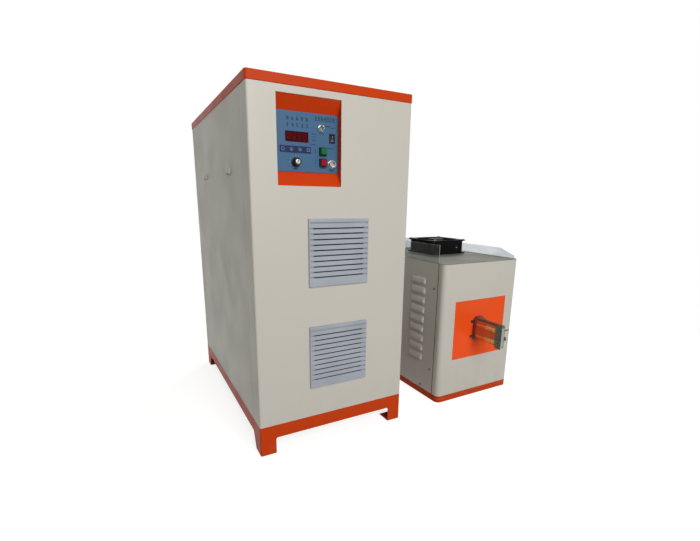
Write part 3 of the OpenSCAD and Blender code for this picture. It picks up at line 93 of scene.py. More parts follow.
# %% Camera
TURN, TILT, LEAN = -0.4987, -0.2301, -0.010
PLACE, LENS, SENSOR, SHIFT = (-0.70148, -1.24338, 0.6336), 20.964, 36, (0.00363, 0.03883)
look = Matrix.Rotation(TURN, 3, "Z") @ Matrix.Rotation(TILT, 3, "X") @ Matrix.Rotation(LEAN, 3, "Y")
right, ahead, up = look.col[0], look.col[1], look.col[2]
camera = bpy.data.objects.new("camera", bpy.data.cameras.new("camera"))
scene.collection.objects.link(camera)
pose = Matrix((right, up, -ahead)).transposed().to_4x4()
pose.translation = Vector(PLACE)
camera.matrix_world = pose
camera.data.lens, camera.data.sensor_width = LENS, SENSOR
camera.data.shift_x, camera.data.shift_y = SHIFT
scene.camera = camera
print("camera looks along", [round(v, 3) for v in ahead])

# %% [markdown]
# ## Light, floor and background
# A catalogue photograph has one large soft light in front, which leaves the left sides at about
# half the level of the fronts, and a white ground with no visible end. The world lights evenly and
# weakly. It is white only for the camera, for reflections and for what is seen through clear
# plastic, so the background is white without more light on the object. Sums between sockets are
# needed here and in most of the trees below, so a helper makes one node of each.

# %% Helpers for any node tree
def maths(tree, operation, *values, clamp=False):
    """One sum in a node tree, of sockets or plain numbers."""
    node = tree.nodes.new("ShaderNodeMath")
    node.operation, node.use_clamp = operation, clamp
    for i, value in enumerate(values):
        if isinstance(value, (int, float)):
            node.inputs[i].default_value = value
        else:
            tree.links.new(value, node.inputs[i])
    return node.outputs[0]


def mixed(tree, factor, first, second):
    """Two shaders mixed by a factor: the first at 0, the second at 1."""
    node = tree.nodes.new("ShaderNodeMixShader")
    for socket, value in zip(node.inputs, (factor, first, second)):
        tree.links.new(value, socket)
    return node.outputs[0]


print("tree helpers ready")

# %% The world
scene.view_settings.view_transform = "Standard"
WORLD_LEVEL, WARM_WHITE = 0.17, (0.96, 1, 0.68, 1)


def ray_switch(tree):
    """A socket that is 1 for rays from the camera, a reflection or a clear piece."""
    path = tree.nodes.new("ShaderNodeLightPath")
    total = path.outputs["Is Camera Ray"]
    for kind in ("Is Glossy Ray", "Is Transmission Ray"):
        total = maths(tree, "ADD", total, path.outputs[kind], clamp=True)
    return total


world = bpy.data.worlds.new("studio")
scene.world = world
world.use_nodes = True
sky = world.node_tree
plain, white = sky.nodes["Background"], sky.nodes.new("ShaderNodeBackground")
for shader, colour, level in ((plain, WARM_WHITE, WORLD_LEVEL), (white, (1, 1, 1, 1), 1.0)):
    shader.inputs["Color"].default_value = colour
    shader.inputs["Strength"].default_value = level
sky.links.new(mixed(sky, ray_switch(sky), plain.outputs[0], white.outputs[0]),
              sky.nodes["World Output"].inputs["Surface"])
print("world level", WORLD_LEVEL)

# %% [markdown]
# One big area lamp in front gives the soft light, a weak one fills the left, and a third stands
# behind, so that the back and the right side can be looked at too. A sun lamp would be simpler, but
# its shadows are harder than a studio's.

# %% Lamps
AIM = Vector((0, 0, 0.4))


def area_lamp(name, place, size, power):
    """A square lamp that looks at the middle of the machine, in metres and watts."""
    lamp = bpy.data.objects.new(name, bpy.data.lights.new(name, "AREA"))
    scene.collection.objects.link(lamp)
    lamp.data.shape, lamp.data.size, lamp.data.energy = "SQUARE", size, power
    lamp.location = place
    lamp.rotation_euler = (AIM - Vector(place)).to_track_quat("-Z", "Y").to_euler()


area_lamp("key_lamp", (-0.3, -3.7, 2.2), 2.4, 118)
area_lamp("fill_lamp", (-2.8, -1.2, 1.6), 2.0, 1.5)
area_lamp("back_lamp", (2.6, 2.6, 3.4), 1.6, 60)

# %% [markdown]
# The floor takes the soft shadow under each unit. A white floor would throw light up the fronts, so
# it is grey paint with a glow that lights nothing: the camera sees it, directly, in reflections and
# through clear plastic. Farther out it fades into the background, so its edge is never seen.

# %% Floor
FLOOR_HALF, FLOOR_DROP, FLOOR_GREY, FLOOR_ROUGH = 6, 0.0004, 0.4, 0.9
FLOOR_LEVEL, FADE_START, FADE_END = 0.81, 1.1, 2.3
floor_mesh = bpy.data.meshes.new("floor")
floor_mesh.from_pydata([(FLOOR_HALF * x, FLOOR_HALF * y, 0) for x, y in
                        ((-1, -1), (1, -1), (1, 1), (-1, 1))], [], [(0, 1, 2, 3)])
floor = bpy.data.objects.new("floor", floor_mesh)
floor.location.z = -FLOOR_DROP
scene.collection.objects.link(floor)
floor_paint = bpy.data.materials.new("floor")
floor_paint.use_nodes = True
tree = floor_paint.node_tree
new, link = tree.nodes.new, tree.links.new
matt = tree.nodes["Principled BSDF"]
matt.inputs["Base Color"].default_value = (FLOOR_GREY, FLOOR_GREY, FLOOR_GREY, 1)
matt.inputs["Roughness"].default_value = FLOOR_ROUGH
glow = new("ShaderNodeEmission")
link(maths(tree, "MULTIPLY", ray_switch(tree), FLOOR_LEVEL), glow.inputs["Strength"])
both = new("ShaderNodeAddShader")
link(matt.outputs[0], both.inputs[0])
link(glow.outputs[0], both.inputs[1])
reach = new("ShaderNodeVectorMath")
reach.operation = "LENGTH"
link(new("ShaderNodeTexCoord").outputs["Object"], reach.inputs[0])
fade = new("ShaderNodeMapRange")
fade.interpolation_type = "SMOOTHSTEP"
fade.inputs["From Min"].default_value, fade.inputs["From Max"].default_value = FADE_START, FADE_END
link(reach.outputs["Value"], fade.inputs["Value"])
nothing = new("ShaderNodeBsdfTransparent")
link(mixed(tree, fade.outputs["Result"], both.outputs[0], nothing.outputs[0]),
     tree.nodes["Material Output"].inputs["Surface"])
floor_mesh.materials.append(floor_paint)
print("floor fades from", FADE_START, "to", FADE_END, "m")

# %% [markdown]
# ## A small kit for finishes
# A finish could be one flat colour, but real paint has orange peel, real metal has brushing and
# real plastic has spark-eroded grain. All of these are noise at some scale, so a few helpers are
# enough. One starts a material, and one gives noise between two levels. Noise is read in object
# coordinates: every piece stays at the origin, so one unit is one metre and a scale of 1000 gives
# grain of about a millimetre.

# %% A material and a noise
def linear(code):
    """A colour written as a hexadecimal code, as linear values with an alpha of 1."""
    values = [int(code[i:i + 2], 16) / 255 for i in (1, 3, 5)]
    return (*[v / 12.92 if v <= 0.04045 else ((v + 0.055) / 1.055) ** 2.4 for v in values], 1)


def finish(name, code, rough, metal=0.0, **more):
    """A new material on the plain shader, with values that are the same all over on its sockets."""
    made = bpy.data.materials.new(name)
    made.use_nodes = True
    shader = made.node_tree.nodes["Principled BSDF"]
    shader.inputs["Base Color"].default_value = linear(code)
    shader.inputs["Roughness"].default_value = rough
    shader.inputs["Metallic"].default_value = metal
    for socket, value in more.items():
        shader.inputs[socket.replace("_", " ")].default_value = value
    made.diffuse_color = linear(code)
    return made


def noise(made, scale, low, high, stretch=(1, 1, 1), detail=3.0, edges=(0.3, 0.7)):
    """Noise in object coordinates, mapped from its middle range to low and high."""
    tree = made.node_tree
    new, link = tree.nodes.new, tree.links.new
    place = new("ShaderNodeTexCoord")
    size = new("ShaderNodeMapping")
    size.inputs["Scale"].default_value = stretch
    cloud = new("ShaderNodeTexNoise")
    cloud.inputs["Scale"].default_value = scale
    cloud.inputs["Detail"].default_value = detail
    level = new("ShaderNodeMapRange")
    level.inputs["From Min"].default_value, level.inputs["From Max"].default_value = edges
    level.inputs["To Min"].default_value, level.inputs["To Max"].default_value = low, high
    link(place.outputs["Object"], size.inputs["Vector"])
    link(size.outputs["Vector"], cloud.inputs["Vector"])
    link(cloud.outputs["Fac"], level.inputs["Value"])
    return level.outputs["Result"]


print("half grey as a linear value", round(linear("#808080")[0], 3))

# %% [markdown]
# A noise is seen where it is linked: as the factor of a second colour, as roughness or as bump. A
# bump's depth is given in metres, so it looks right from near and from far. Dust and scuffs also
# need the height above the floor, which is the Z of the object coordinates.

# %% Tint and roughness
def tint(made, factor, code):
    """Mixes a second colour over the base colour by a factor."""
    tree = made.node_tree
    shader = tree.nodes["Principled BSDF"]
    mix = tree.nodes.new("ShaderNodeMix")
    mix.data_type = "RGBA"
    colours = [s for s in mix.inputs if s.type == "RGBA"]
    base = shader.inputs["Base Color"]
    if base.is_linked:
        tree.links.new(base.links[0].from_socket, colours[0])
    else:
        colours[0].default_value = base.default_value
    colours[1].default_value = linear(code)
    tree.links.new(factor, mix.inputs["Factor"])
    tree.links.new([s for s in mix.outputs if s.type == "RGBA"][0], base)


def rough_by(made, factor):
    """Lets a factor set the roughness."""
    made.node_tree.links.new(factor, made.node_tree.nodes["Principled BSDF"].inputs["Roughness"])


print("tint and roughness ready")

# %% Bump and height
def bump(made, height, depth):
    """Adds bump of a real depth in metres, on top of any that is there."""
    tree = made.node_tree
    shader = tree.nodes["Principled BSDF"]
    node = tree.nodes.new("ShaderNodeBump")
    node.inputs["Distance"].default_value = depth
    node.inputs["Strength"].default_value = 1.0
    tree.links.new(height, node.inputs["Height"])
    if shader.inputs["Normal"].is_linked:
        tree.links.new(shader.inputs["Normal"].links[0].from_socket, node.inputs["Normal"])
    tree.links.new(node.outputs["Normal"], shader.inputs["Normal"])


def by_height(made, low_z, high_z):
    """A factor that falls from 1 at low_z to 0 at high_z, in metres above the floor."""
    tree = made.node_tree
    place = tree.nodes.new("ShaderNodeTexCoord")
    split = tree.nodes.new("ShaderNodeSeparateXYZ")
    level = tree.nodes.new("ShaderNodeMapRange")
    level.inputs["From Min"].default_value, level.inputs["From Max"].default_value = low_z, high_z
    level.inputs["To Min"].default_value, level.inputs["To Max"].default_value = 1.0, 0.0
    tree.links.new(place.outputs["Object"], split.inputs["Vector"])
    tree.links.new(split.outputs["Z"], level.inputs["Value"])
    return level.outputs["Result"]


print("bump and height ready")

# %% [markdown]
# ## Powder coat
# Both units are folded steel under baked powder. Powder flows as it melts, so its surface is a
# fine orange peel with a soft, uneven shine. Two noises make the bump: hills of about 2 mm, and
# a grain of half a millimetre. Dust dulls the lowest part, and the orange bases have scuffs where
# a pallet truck or a boot met them: thin streaks that only show near the floor. The head's top
# plate takes a dark olive copy of the cream coat, as painted shade for how dim it lies under the
# clear guard, and the output recess a brighter copy of the orange, as painted light.

# %% Paints
# How high dust and scuffs reach, in metres.
DUST_TOP, SCUFF_TOP = 0.16, 0.05


def powder(name, code, dust, rough=0.42, shine=0.45):
    """Powder coat in one colour, with dust in soft patches and more of it near the floor."""
    made = finish(name, code, rough, Specular_IOR_Level=shine)
    rough_by(made, noise(made, 9, rough - 0.05, rough + 0.07))
    tint(made, noise(made, 2.2, 0.0, 0.10, edges=(0.35, 0.75)), dust)
    patches = noise(made, 34, 0.0, 0.30, (1, 1, 0.4), 5)
    tint(made, maths(made.node_tree, "MULTIPLY", by_height(made, 0.0, DUST_TOP), patches), dust)
    bump(made, noise(made, 520, 0, 1, detail=2), 0.00007)
    bump(made, noise(made, 1900, 0, 1, detail=1), 0.00002)
    return made


cream_paint = powder("cream_powder_coat", "#c9c4be", "#a9a596")
orange_paint = powder("orange_powder_coat", "#cc400c", "#8f3c1c", 0.38, 0.08)
recess_paint = powder("recess_powder_coat", "#cf3e0e", "#b33a12", 0.36, 0.08)
# Painted light: the output recess is this same orange paint, made brighter as it looks lit from the
# front.
output_orange_painted_light = powder("output_powder_coat", "#f4561e", "#f03c14", 0.36, 0.12)
# Painted shade: the head's top plate is the cream coat made dark olive, for the shade it lies in under
# the guard.
top_plate_painted_shade = powder("top_plate_coat", "#74746a", "#66665a", 0.5, 0.1)
streaks = noise(orange_paint, 60, 0, 1, (0.35, 0.35, 5), 6, (0.60, 0.66))
tint(orange_paint, maths(orange_paint.node_tree, "MULTIPLY", by_height(orange_paint, 0.0, SCUFF_TOP),
                         streaks), "#7d6a5e")
print("paints", cream_paint.name, "to", top_plate_painted_shade.name)

# %% [markdown]
# ## Plastics, films and glass
# Moulded plastic is matt because its mould was spark-eroded: a fine even grain. The control panel
# is printed film on a plate, smoother than paint and a little silky. The display window is tinted
# acrylic, nearly black-red while it is off. The guard on the head is clear sheet with broad grey
# streaks painted in as its reflections, and its sawn edges catch the light.

# %% Plastics and films
def moulded(name, code, rough=0.5, grain=2600, depth=0.00003, shine=0.25):
    """Moulded plastic with a fine grain of a real depth in metres."""
    made = finish(name, code, rough, Specular_IOR_Level=shine)
    rough_by(made, noise(made, 40, rough - 0.06, rough + 0.06))
    tint(made, noise(made, 14, 0.0, 0.12), "#101010")
    bump(made, noise(made, grain, 0, 1, detail=1), depth)
    return made


black_plastic = moulded("black_moulded_plastic", "#1d1d20", 0.42)
fan_plastic = moulded("fan_glass_filled_plastic", "#0a0a0b", 0.55, 1800, 0.00005, 0.06)
grille_plastic = moulded("grille_grey_plastic", "#acb1be", 0.52)
green_plastic = moulded("green_cap_plastic", "#0c6c3c", 0.32, 3000, 0.00001, 0.1)
red_plastic = moulded("red_cap_plastic", "#970f2c", 0.32, 3000, 0.00001, 0.1)
key_plastic = moulded("key_film", "#333c66", 0.4, 3000, 0.00001, 0.1)
strip_film = moulded("strip_film", "#2a3058", 0.36, 3000, 0.00001, 0.1)
lever_plastic = moulded("breaker_lever_plastic", "#d2d2cc", 0.45)
wire_cap = moulded("fan_wire_cap", "#b06a4c", 0.45)
module_plastic = moulded("module_case_plastic", "#2e3033", 0.55)
panel_paint = finish("blue_panel_film", "#44698e", 0.34, Specular_IOR_Level=0.15)
tint(panel_paint, noise(panel_paint, 7, 0.0, 0.28), "#3b5e82")
rough_by(panel_paint, noise(panel_paint, 30, 0.28, 0.40))
bump(panel_paint, noise(panel_paint, 1500, 0, 1, detail=2), 0.00002)
display_glass = finish("display_tinted_window", "#3e0509", 0.25, Specular_IOR_Level=0.03)
tint(display_glass, noise(display_glass, 60, 0.0, 0.35), "#4c0a10")
digit_red = finish("unlit_segment", "#6e1016", 0.35, Specular_IOR_Level=0.03)
tint(digit_red, noise(digit_red, 500, 0.0, 0.4), "#540c12")
clear_sheet = finish("clear_guard_sheet", "#dfe4e6", 0.04, Transmission_Weight=0.98, IOR=1.3,
                     Specular_IOR_Level=0.2)
rough_by(clear_sheet, noise(clear_sheet, 6, 0.01, 0.04))
# Painted reflection: broad grey streaks on the clear sheet stand in for what it reflects.
tint(clear_sheet, noise(clear_sheet, 9, 0.0, 0.5, (1, 1, 3), 1), "#a3abb2")
clear_edge = finish("clear_guard_edge", "#a9b2b6", 0.3, Transmission_Weight=0.2, IOR=1.47)
bump(clear_edge, noise(clear_edge, 900, 0, 1, (1, 1, 6)), 0.00006)
ink = finish("panel_ink", "#0c1622", 0.5, Specular_IOR_Level=0.1)
tint(ink, noise(ink, 700, 0.0, 0.5), "#142236")
key_ink = finish("key_ink", "#8e9cc0", 0.5, Specular_IOR_Level=0.1)
tint(key_ink, noise(key_ink, 700, 0.0, 0.4), "#7482aa")
pale_ink = finish("pale_ink", "#aebac8", 0.5, Specular_IOR_Level=0.1)
tint(pale_ink, noise(pale_ink, 700, 0.0, 0.4), "#8c9cb0")
print("plastics", black_plastic.name, "to", pale_ink.name)

# %% [markdown]
# ## Metals, laminate and the inner parts
# The socket, toggle and screws are nickel or zinc with a soft brushing. The two terminals are
# bare copper that has browned unevenly, with brass unions brazed to their cooling tubes. The left
# clamp plate is ground steel, tinted green-grey as a painted reflection of the room. Brushing is
# noise that is stretched along one way. The board on the recess is dark red laminate, and the
# sheet between the terminals, with the ridge on top of it, is a browner one: both have short
# streaks of their cloth.

# %% Metals
def metal(name, code, rough, stretch, stain, share=1.0):
    """Brushed metal, stained in patches. A share under 1 mixes in a plain colour, as on a dull film."""
    made = finish(name, code, rough, share)
    rough_by(made, noise(made, 260, rough - 0.09, rough + 0.12, stretch))
    tint(made, noise(made, 25, 0.0, 0.45, detail=5), stain)
    bump(made, noise(made, 1400, 0, 1, stretch, 2), 0.00001)
    return made


silver_metal = metal("nickel_plate", "#a9aaa6", 0.24, (1, 4, 1), "#858680")
zinc = metal("zinc_plate", "#b3b6b4", 0.38, (6, 1, 1), "#8f938f")
brass = metal("brass", "#e2b672", 0.34, (1, 5, 1), "#bd9050", 0.75)
copper = metal("browned_copper", "#cf8258", 0.38, (1, 1, 5), "#b06440", 0.5)
# Painted reflection: the green-grey of this steel stands in for the room that it reflects.
clamp_metal = metal("ground_clamp_steel", "#64827a", 0.42, (1, 1, 9), "#4c6860", 0.8)
dark_steel = metal("blackened_bolt_steel", "#5f605e", 0.42, (1, 1, 1), "#3f3f3e")
core_steel = metal("core_laminations", "#55575a", 0.5, (1, 60, 1), "#3a3b3d")
can_metal = metal("capacitor_can", "#5b6670", 0.4, (1, 1, 6), "#46505a")
print("metals", silver_metal.name, "to", can_metal.name)

# %% Laminate and the inner parts
laminate = finish("red_laminate", "#7c3330", 0.45)
ridge_laminate = finish("ridge_laminate", "#745a52", 0.5)
for made, streak in ((laminate, "#5c2826"), (ridge_laminate, "#563f39")):
    tint(made, noise(made, 420, 0.0, 0.6, (1, 1, 7)), streak)
    bump(made, noise(made, 900, 0, 1, (8, 1, 1)), 0.00004)
filter_mat = finish("filter_mat", "#22242a", 0.95)
tint(filter_mat, noise(filter_mat, 900, 0.0, 0.8, detail=6), "#45484f")
bump(filter_mat, noise(filter_mat, 700, 0, 1, detail=6), 0.0006)
winding = finish("enamelled_winding", "#8a4a24", 0.35)
tint(winding, noise(winding, 60, 0.0, 0.7, (1, 1, 9)), "#5c2d16")
bump(winding, noise(winding, 120, 0, 1, (0.1, 0.1, 6)), 0.0005)
board_green = finish("circuit_board", "#1d5f38", 0.35)
tint(board_green, noise(board_green, 300, 0.0, 0.7, (1, 1, 3)), "#2f8a50")
print("inner finishes", laminate.name, "to", board_green.name)

# %% [markdown]
# ## Soft edges on every solid
# The solids come in as loose triangles with knife edges, and no real edge is that sharp: folded
# sheet, moulded plastic and machined bar all catch a thin line of light. Each node is copied, its
# triangles are welded into whole faces, and a narrow bevel with hardened normals rounds the edges
# sharper than 30 degrees. The copy then stands for the node.

# %% Welding a solid into whole faces
# A face with many holes can't be merged into one outline without a false fold, so these nodes
# keep their triangles.
KEEP_TRIANGLES = ("base_plinth", "rear_panel", "fan_frames", "head_fan_frame")
SHARP = math.radians(30)


def welded(node, name):
    """A copy of a CAD node with its triangles merged into flat faces, smooth but for real edges."""
    shape = bmesh.new()
    shape.from_mesh(frame["nodes"][node].data)
    bmesh.ops.remove_doubles(shape, verts=shape.verts, dist=2e-6)
    if node not in KEEP_TRIANGLES:
        bmesh.ops.dissolve_limit(shape, angle_limit=math.radians(0.3), verts=shape.verts,
                                 edges=shape.edges)
    return shaped(shape, name)


def shaped(shape, name):
    """Turns a bmesh into an object, smooth except at edges over 30 degrees."""
    for face in shape.faces:
        face.smooth = True
    for edge in shape.edges:
        edge.smooth = len(edge.link_faces) == 2 and edge.calc_face_angle(0) < SHARP
    mesh = bpy.data.meshes.new(name)
    shape.to_mesh(mesh)
    shape.free()
    made = bpy.data.objects.new(name, mesh)
    scene.collection.objects.link(made)
    return made


print("nodes that keep their triangles", len(KEEP_TRIANGLES))

# %% [markdown]
# The bevel is a modifier, so its width can be changed later without harm to the mesh. Dressing a
# piece gives it its material, unless a tree did, puts it on the body that it rides on and hides
# the nodes that it stands for.

# %% Rounding and dressing
def soften(made, width):
    """Rounds the sharp edges by a width in millimetres, or leaves them if it is 0."""
    if not width:
        return made
    edge = made.modifiers.new("soft edges", "BEVEL")
    edge.width, edge.segments = width * MM, 2
    edge.limit_method, edge.angle_limit = "ANGLE", SHARP
    edge.harden_normals = True
    edge.use_clamp_overlap = False
    return made


def dress(made, material, slot, body="machine", *nodes):
    """Gives a piece its material, unless a tree did, and its body, and hides the nodes that it stands
    for; the slot is not used.
    """
    if material is not None:
        made.data.materials.clear()
        made.data.materials.append(material)
    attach(made, body)
    if nodes:
        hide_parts(*nodes)
    return made


body_of_node = {n: b for b, ns in frame["record"]["behaviour"]["bodies"].items() for n in ns}

# %% [markdown]
# Each node could be dressed by its own lines, but they would all read the same. So a table has one
# row for each finish, with its material, its slot and the width of every node's bevel in
# millimetres, and a loop reads it.

# %% The table of finishes and bevels
TABLE = [
    (orange_paint, "orange_paint", {"base_plinth": 0.8, "top_cap": 1.6, "head_base": 0.8}),
    (zinc, "zinc", {"inner_frame": 0.4, "knob_potentiometer": 0.3}),
    (cream_paint, "cabinet_paint", {"front_shell": 0.6, "rear_panel": 0, "head_front_shell": 0.6}),
    (recess_paint, "orange_paint", {"control_recess": 0.9}),
    (panel_paint, "panel_paint", {"control_panel": 0.3}),
    (display_glass, "display_glass", {"display_window": 0.3}),
    (strip_film, "strip_film", {"key_strip": 0.25}),
    (key_plastic, "key_plastic", {"mode_key": 0.2, "up_key": 0.2, "down_key": 0.2,
        "reset_key": 0.2}),
    (black_plastic, "black_plastic", {"power_knob": 0.35, "rocker_housing": 0.4,
        "rocker_paddle": 0.35, "button_housings": 0.5, "breaker_body": 0.8, "cable_glands": 0.5,
        "right_clamp_plate": 0.3}),
    (silver_metal, "silver_metal", {"toggle_body": 0.3, "toggle_lever": 0.15,
        "foot_switch_socket": 0.35, "panel_screws": 0.2}),
    (green_plastic, "green_plastic", {"start_button": 1.2}),
    (red_plastic, "red_plastic", {"stop_button": 1.2}),
    (grille_plastic, "grille_plastic", {"grille_frames": 0.4, "upper_grille_cover": 0.5,
        "lower_grille_cover": 0.5}),
    (filter_mat, "filter_mat", {"filter_mats": 1.0}),
    (fan_plastic, "black_plastic", {"fan_frames": 0.5, "upper_fan_rotor": 0.4,
        "lower_fan_rotor": 0.4, "head_fan_frame": 0.6, "head_fan_rotor": 0.4}),
    (brass, "brass", {"cooling_manifold": 0.4, "earth_stud": 0.3, "head_water_block": 0.4}),
    (module_plastic, "module_plastic", {"inverter_modules": 0.8}),
    (can_metal, "can_metal", {"capacitor_bank": 0.8, "resonant_capacitors": 1.0}),
    (core_steel, "core_steel", {"filter_choke": 0.8, "transformer_core": 0.6}),
    (board_green, "board_green", {"control_board": 0.3}),
    (lever_plastic, "lever_plastic", {"breaker_lever": 0.6}),
    (top_plate_painted_shade, "cabinet_paint", {"head_top_plate": 0.4}),
    (output_orange_painted_light, "orange_paint", {"output_recess": 1.6}),
    (laminate, "board_red", {"terminal_board": 0.4}),
    (ridge_laminate, "board_red", {"terminal_insulator": 0.3}),
    (clamp_metal, "clamp_metal", {"left_clamp_plate": 0.3}),
    (dark_steel, "clamp_metal", {"terminal_bolts": 0.4}),
    (winding, "winding", {"transformer_winding": 2.0})
]
pieces = {}
for material, slot, widths in TABLE:
    for node, width in widths.items():
        made = soften(welded(node, node + "_skin"), width)
        pieces[node] = dress(made, material, slot, body_of_node[node], node)
print("solids dressed", len(pieces), "left over", sorted(set(frame["nodes"]) - set(pieces)))

# %% [markdown]
# ## Folded sheets whose louvres are pressed
# Three sheets carry pressings: the head's body, which wraps both sides and the back, and the
# cabinet's two sides with their lift hoods. A pressing is a smooth bulge with rounded ends, cut
# open along its lower edge. The sheets are drawn as outlines and run upwards, their slots are cut
# with a boolean, and the bulges come from Geometry Nodes, because they follow one rule.

# %% Sheets drawn from an outline
def prism(name, outline, low, high):
    """A flat outline in X and Y, run from low to high in Z, all in metres."""
    shape = bmesh.new()
    rings = [[shape.verts.new((x, y, z)) for x, y in outline] for z in (low, high)]
    shape.faces.new(list(reversed(rings[0])))
    shape.faces.new(rings[1])
    n = len(outline)
    for i in range(n):
        j = (i + 1) % n
        shape.faces.new((rings[0][i], rings[0][j], rings[1][j], rings[1][i]))
    bmesh.ops.recalc_face_normals(shape, faces=shape.faces)
    return shaped(shape, name)


def arc(cx, cy, r, start, stop, steps=10):
    """Points along an arc, from one angle to another in degrees."""
    return [(cx + r * math.cos(math.radians(start + (stop - start) * i / steps)),
             cy + r * math.sin(math.radians(start + (stop - start) * i / steps)))
            for i in range(steps + 1)]


def folded_outline(width, depth, radius, wall, front):
    """A sheet folded round both sides and the back, open at the front, in millimetres."""
    outer = ([(width, front)] + arc(width - radius, depth - radius, radius, 0, 90)
             + arc(radius, depth - radius, radius, 90, 180) + [(0, front)])
    inner_r = radius - wall
    inner = ([(width - wall, front)] + arc(width - radius, depth - radius, inner_r, 0, 90)
             + arc(radius, depth - radius, inner_r, 90, 180) + [(wall, front)])
    return outer + inner[::-1]


print("points in an arc", len(arc(0, 0, 1, 0, 90)))

# %% The head's body and the cabinet's sides
HEAD_W, HEAD_D, CABINET_W, SHEET, SEAM, CORNER = 320, 450, 426, 1.5, 29, 17
PANEL_FRONT, PANEL_BACK = 58, 699
shell_low, shell_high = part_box("head_body_shell")[0].z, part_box("head_body_shell")[1].z
fold = folded_outline(HEAD_W, HEAD_D, CORNER, SHEET, SEAM)
head_shell = prism("head_body_skin", [tuple(on_head(x, y, 0)[:2]) for x, y in fold],
                   shell_low, shell_high)
sides = {}
for node, x in (("left_side_panel", 0), ("right_side_panel", CABINET_W - SHEET)):
    low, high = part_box(node)
    corners = [tuple(on_cabinet(a, b, 0)[:2]) for a, b in
               ((x, PANEL_FRONT), (x + SHEET, PANEL_FRONT), (x + SHEET, PANEL_BACK), (x, PANEL_BACK))]
    sides[node] = prism(node + "_skin", corners, low.z, high.z)
print("head sheet", len(head_shell.data.vertices), "points")

# %% [markdown]
# The bulge starts as a flat grid. Each point is pushed out by the depth, times one curve along the
# length that rounds both ends, times another over the height that is full at the open lower lip
# and falls to nothing at the top. A line of points then repeats it upwards. All sizes are inputs of
# the tree, so the small lift hoods of the cabinet come from the same tree as the head's louvres.

# %% Inputs and ends that both trees share
def add_input(tree, name, kind):
    """A new input of a tree, with the key that a modifier knows it by."""
    return tree.interface.new_socket(name, in_out="INPUT", socket_type=kind).identifier


def end_tree(tree, copies, given):
    """Makes the copies real, gives them the finish that was asked for, and sends them out."""
    tree.interface.new_socket("Geometry", in_out="OUTPUT", socket_type="NodeSocketGeometry")
    real = tree.nodes.new("GeometryNodeRealizeInstances")
    coat = tree.nodes.new("GeometryNodeSetMaterial")
    tree.links.new(copies.outputs[0], real.inputs[0])
    tree.links.new(real.outputs[0], coat.inputs["Geometry"])
    tree.links.new(given.outputs["Finish"], coat.inputs["Material"])
    tree.links.new(coat.outputs[0], tree.nodes.new("NodeGroupOutput").inputs[0])


print("ends of trees ready")

# %% The louvre tree
GRID_LONG, GRID_HIGH = 41, 15
# The first makes the bulge fall late, near its top, and the second keeps it full until then.
TOP_POWER, FULL_POWER = 2.6, 0.8


def louvre_tree():
    """The tree that makes one pressing and repeats it along a line, and its inputs' keys."""
    tree = bpy.data.node_groups.new("Pressed louvres", "GeometryNodeTree")
    new, link = tree.nodes.new, tree.links.new
    ids = {name: add_input(tree, name, kind) for name, kind in (
        ("Length", "NodeSocketFloat"), ("Height", "NodeSocketFloat"), ("Depth", "NodeSocketFloat"),
        ("End round", "NodeSocketFloat"), ("Count", "NodeSocketInt"), ("Step", "NodeSocketVector"),
        ("Start", "NodeSocketVector"), ("Turn", "NodeSocketVector"), ("Finish", "NodeSocketMaterial"))}
    given = new("NodeGroupInput")
    grid = new("GeometryNodeMeshGrid")
    grid.inputs["Vertices X"].default_value = GRID_LONG
    grid.inputs["Vertices Y"].default_value = GRID_HIGH
    link(given.outputs["Length"], grid.inputs["Size X"])
    link(given.outputs["Height"], grid.inputs["Size Y"])
    where = new("ShaderNodeSeparateXYZ")
    link(new("GeometryNodeInputPosition").outputs[0], where.inputs[0])
    half = maths(tree, "MULTIPLY", given.outputs["Length"], 0.5)
    from_end = maths(tree, "SUBTRACT", half, maths(tree, "ABSOLUTE", where.outputs["X"]))
    end = maths(tree, "DIVIDE", from_end, given.outputs["End round"], clamp=True)
    along = maths(tree, "SQRT", maths(tree, "SUBTRACT", 1.0, maths(
        tree, "POWER", maths(tree, "SUBTRACT", 1.0, end), 2.0)))
    rise = maths(tree, "ADD", maths(tree, "DIVIDE", where.outputs["Y"], given.outputs["Height"]), 0.5)
    fall = maths(tree, "POWER", maths(tree, "SUBTRACT", 1.0, maths(
        tree, "POWER", rise, TOP_POWER, clamp=True), clamp=True), FULL_POWER)
    out_by = maths(tree, "MULTIPLY", given.outputs["Depth"], maths(tree, "MULTIPLY", along, fall))
    offset = new("ShaderNodeCombineXYZ")
    link(out_by, offset.inputs["Z"])
    push = new("GeometryNodeSetPosition")
    link(grid.outputs["Mesh"], push.inputs["Geometry"])
    link(offset.outputs[0], push.inputs["Offset"])
    smooth = new("GeometryNodeSetShadeSmooth")
    link(push.outputs[0], smooth.inputs["Geometry"])
    line = new("GeometryNodeMeshLine")
    link(given.outputs["Count"], line.inputs["Count"])
    link(given.outputs["Start"], line.inputs["Start Location"])
    link(given.outputs["Step"], line.inputs["Offset"])
    copies = new("GeometryNodeInstanceOnPoints")
    link(line.outputs["Mesh"], copies.inputs["Points"])
    link(smooth.outputs[0], copies.inputs["Instance"])
    link(given.outputs["Turn"], copies.inputs["Rotation"])
    end_tree(tree, copies, given)
    return tree, ids


louvres, louvre_ids = louvre_tree()
print("louvre inputs", list(louvre_ids))

# %% [markdown]
# A tree gives a live shape, which could be left on its object. A plain mesh is safer to hand on, so
# the result is taken once and the object with the tree is dropped.

# %% From a tree to a mesh
def from_tree(name, tree, ids, values, points=()):
    """An object made of points, with a tree set up on it and the tree's inputs filled in."""
    start = bpy.data.meshes.new(name + "_start")
    start.from_pydata([tuple(p) for p in points], [], [])
    made = bpy.data.objects.new(name + "_start", start)
    scene.collection.objects.link(made)
    step = made.modifiers.new("tree", "NODES")
    step.node_group = tree
    for key, value in values.items():
        step[ids[key]] = value
    return made


